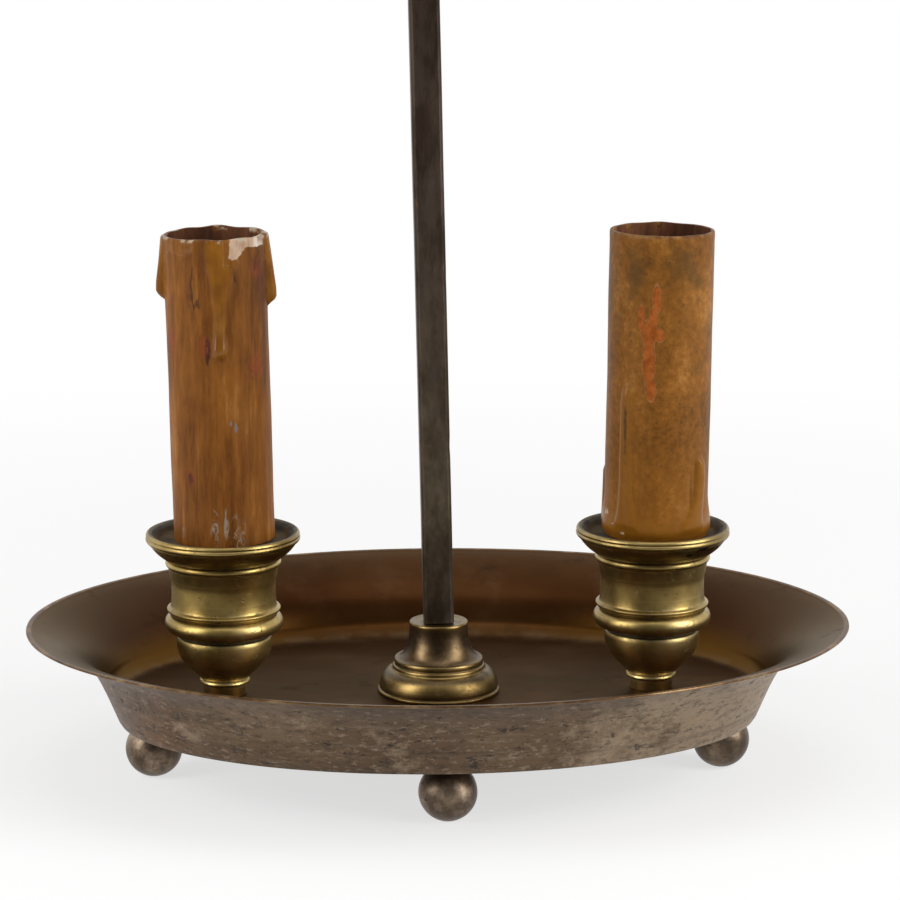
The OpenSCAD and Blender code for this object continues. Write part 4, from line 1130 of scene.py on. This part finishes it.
card = sleeveCard()
for key, wax in (("left", waxLeft(sleeves["left"]["marks"])), ("right", waxRight(sleeves["right"]["marks"]))):
    sleeve = makeSleeve(key)
    smooth(sleeve, 60)
    dress(sleeve, wax, card)
    s = sleeves[key]
    tilt = math.tan(math.radians(s["side"] * s["lean"]))
    middle = s["side"] * cup["x"] + s["shift"]
    for face in sleeve.data.polygons:
        x, y, z = (v / mm for v in face.center)
        away = math.hypot(x - middle - tilt * (z - s["low"]), y)
        face.material_index = 1 if away < s["radius"] - 0.75 and z < 179.3 else 0
    hand(sleeve, key + "_sleeve", "sleeve_" + key)
    print("stage:", key, "sleeve", len(sleeve.data.polygons), "faces")


# shade
shade = {"low": 221, "rise": 125, "lowOval": (128.0, 85.0), "topOval": (101.5, 56.0), "sheet": 0.8, "sides": 256,
         "trimHigh": 4.0, "trimThick": 1.2}


def shadeAt(level):
    a, b = shade["lowOval"]
    c, d = shade["topOval"]
    return a + (c - a) * level, b + (d - b) * level


def makeShade():
    t, high = shade["sheet"], shade["rise"]
    rings = []
    for i in range(13):
        a, b = shadeAt(i / 12)
        rings.append((a, b, high * i / 12))
    for i in range(12, -1, -1):
        a, b = shadeAt(i / 12)
        rings.append((a - t, b - t, high * i / 12))
    rings.append(rings[0])
    piece = ringUp("shadeSheet", rings, shade["sides"])
    onStem(piece, shade["low"])
    return piece


def makeTrim(name, level):
    a, b = shadeAt(level / shade["rise"])
    a, b, w, t = a + 0.1, b + 0.1, shade["trimHigh"], shade["trimThick"]
    rings = ovals(a, b, 0, (0, 0), (0.5, 0), (0.8, 0.15), (0.95, 0.45), (0.8, 0.8), (0.55, 1.0), (0.9, 1.25), (t, 1.7),
                  (t, 2.3), (0.9, 2.75), (0.55, 3.0), (0.8, 3.2), (0.95, 3.55), (0.8, 3.85), (0.5, w), (0, w), (0, 0))
    piece = ringUp(name, rings, shade["sides"])
    onStem(piece, shade["low"] + level)
    return piece


def toleGreen():  # dark green painted sheet, a little rubbed, old varnish
    f = Finish("greenTole", {"Specular IOR Level": 0.45, "Coat Roughness": 0.28})
    cloud = f.noise(18, 4, 0.6)
    f.ground = f.ramp(cloud, (0.35, (0.006, 0.018, 0.012)), (0.55, (0.01, 0.03, 0.019)), (0.72, (0.02, 0.046, 0.028)))
    rub = f.patches(0.64, 0.72, 130, 6, 0.72)
    f.lay(rub * 0.6, (0.085, 0.05, 0.026))
    drip = f.patches(0.56, 0.74, 60, 4, 0.6, stretch=(1, 1, 0.2), shift=(0.4, 0, 0))
    f.lay(drip * 0.3, (0.03, 0.052, 0.026))
    f.feed("Coat Weight", 0.5 - rub * 0.5)
    return f.done(0.4 + cloud * 0.2 + rub * 0.2, 0, (f.noise(220, 4, 0.6), 0.04), (rub, -0.05))


def toleCream():  # inside of the shade
    f = Finish("creamTole", {"Specular IOR Level": 0.3})
    cloud = f.noise(22, 5, 0.6)
    f.ground = f.ramp(cloud, (0.35, (0.42, 0.34, 0.2)), (0.55, (0.56, 0.47, 0.3)), (0.72, (0.66, 0.58, 0.42)))
    stain = f.patches(0.6, 0.72, 90, 5, 0.7, shift=(0.2, 0, 0))
    f.lay(stain * 0.5, (0.24, 0.15, 0.07))
    return f.done(0.6 + cloud * 0.15, 0, (f.noise(240, 4, 0.6), 0.03))


def giltBand():
    f = Finish("rubbedGilt")
    cloud = f.noise(70, 5, 0.65)
    f.ground = f.ramp(cloud, (0.34, (0.15, 0.08, 0.022)), (0.5, (0.33, 0.205, 0.06)), (0.68, (0.52, 0.36, 0.12)))
    grime = f.ease(f.read("hollow"), 0.01, 0.1)
    f.lay(grime * 0.7, (0.05, 0.034, 0.016))
    return f.done(0.3 + cloud * 0.2, 0.9 - grime * 0.4, (f.noise(300, 4, 0.7), 0.02))


shadeSheet = makeShade()
smooth(shadeSheet, 40)
dress(shadeSheet, toleGreen(), toleCream())
for face in shadeSheet.data.polygons:  # cream where a face looks inward
    face.material_index = 1 if face.normal.x * face.center.x + face.normal.y * face.center.y < 0 else 0
hand(shadeSheet, "shade_frame", "shade")
gilt = giltBand()
for name, level, node in (("lowTrim", 0, "shade_trim_bottom"),
                          ("highTrim", shade["rise"] - shade["trimHigh"], "shade_trim_top")):
    band = makeTrim(name, level)
    smooth(band, 40)
    markHollows(band, 1)
    dress(band, gilt)
    hand(band, "shade_frame", node)
print("stage: shade and its bands")


# finishes of the parts that keep their own shape
def plainBrass(name, tone):
    f = Finish(name)
    cloud = f.noise(90, 4, 0.65)
    f.ground = f.ramp(cloud, (0.34, tuple(v * 0.45 for v in tone)), (0.52, tone), (0.7, tuple(v * 1.9 for v in tone)))
    specks = f.patches(0.62, 0.72, 420, 4, 0.7, shift=(0.2, 0, 0))
    f.lay(specks * 0.7, (0.028, 0.02, 0.01))
    return f.done(0.3 + cloud * 0.2, 0.92 - specks * 0.4, (f.noise(300, 4, 0.7), 0.02))


def dullSteel():
    f = Finish("dullSteel")
    cloud = f.noise(120, 5, 0.7)
    rust = f.patches(0.56, 0.68, 160, 5, 0.7, shift=(0.2, 0.5, 0))
    f.ground = f.ramp(cloud, (0.34, (0.11, 0.105, 0.098)), (0.56, (0.23, 0.222, 0.21)), (0.7, (0.36, 0.35, 0.335)))
    f.lay(rust * 0.7, (0.13, 0.062, 0.028))
    return f.done(0.36 + cloud * 0.2 + rust * 0.2, 0.9 - rust * 0.6, (cloud, 0.03))


def glazedWhite():
    f = Finish("glazedWhite", {"Coat Roughness": 0.08, "Coat Weight": 0.6})
    cloud = f.noise(60, 4, 0.6)
    dirt = f.patches(0.56, 0.72, 140, 5, 0.7, shift=(0.1, 0, 0))
    f.ground = f.ramp(cloud, (0.35, (0.6, 0.57, 0.49)), (0.65, (0.78, 0.76, 0.7)))
    f.lay(dirt * 0.5, (0.26, 0.21, 0.15))
    return f.done(0.22 + cloud * 0.15, 0, (cloud, 0.02))


def wireSkin():
    f = Finish("wireSkin", {"Specular IOR Level": 0.3})
    weave = f.noise(900, 2, 0.5)
    f.ground = f.ramp(weave, (0.35, (0.022, 0.015, 0.01)), (0.65, (0.075, 0.052, 0.034)))
    return f.done(0.7 + weave * 0.2, 0, (weave, 0.05))


def plateUnder():  # tarnished plate under the tray
    f = Finish("underPlate", {"Specular IOR Level": 0.4})
    cloud = f.noise(24, 5, 0.65)
    scratch = f.patches(0.58, 0.72, 40, 4, 0.7, stretch=(14, 1, 1))
    f.ground = f.ramp(cloud, (0.34, (0.05, 0.036, 0.026)), (0.52, (0.1, 0.072, 0.05)), (0.7, (0.175, 0.13, 0.092)))
    f.lay(scratch * 0.4, (0.28, 0.22, 0.16))
    return f.done(0.42 + cloud * 0.2, 0.75 - cloud * 0.1, (cloud, 0.05), (scratch, -0.03))


holderBrass = plainBrass("holderBrass", (0.2, 0.13, 0.042))
fittingBrass = plainBrass("fittingBrass", (0.15, 0.098, 0.03))
steel, white, skin = dullSteel(), glazedWhite(), wireSkin()
# these keep the shape that the frame gives them
kept = {
    "bottom_plate": plateUnder(), "stem_washer": steel, "stem_nut": steel, "tube_left": steel, "tube_right": steel,
    "tube_nuts": steel, "tube_washers": steel, "holder_left": holderBrass, "holder_right": holderBrass,
    "insert_left": white, "insert_right": white, "terminal_block": white, "inlet_bush": fittingBrass,
    "plunger_left_front": holderBrass, "plunger_left_back": holderBrass, "plunger_right_front": holderBrass,
    "plunger_right_back": holderBrass, "wires_left": skin, "wires_right": skin, "shade_carrier": fittingBrass,
    "thumbscrew": fittingBrass, "shade_spider": gilt,
}
for node, finish in kept.items():
    nodes[node].data.materials.clear()
    nodes[node].data.materials.append(finish.material)
print("stage: finishes of", len(kept), "kept parts")
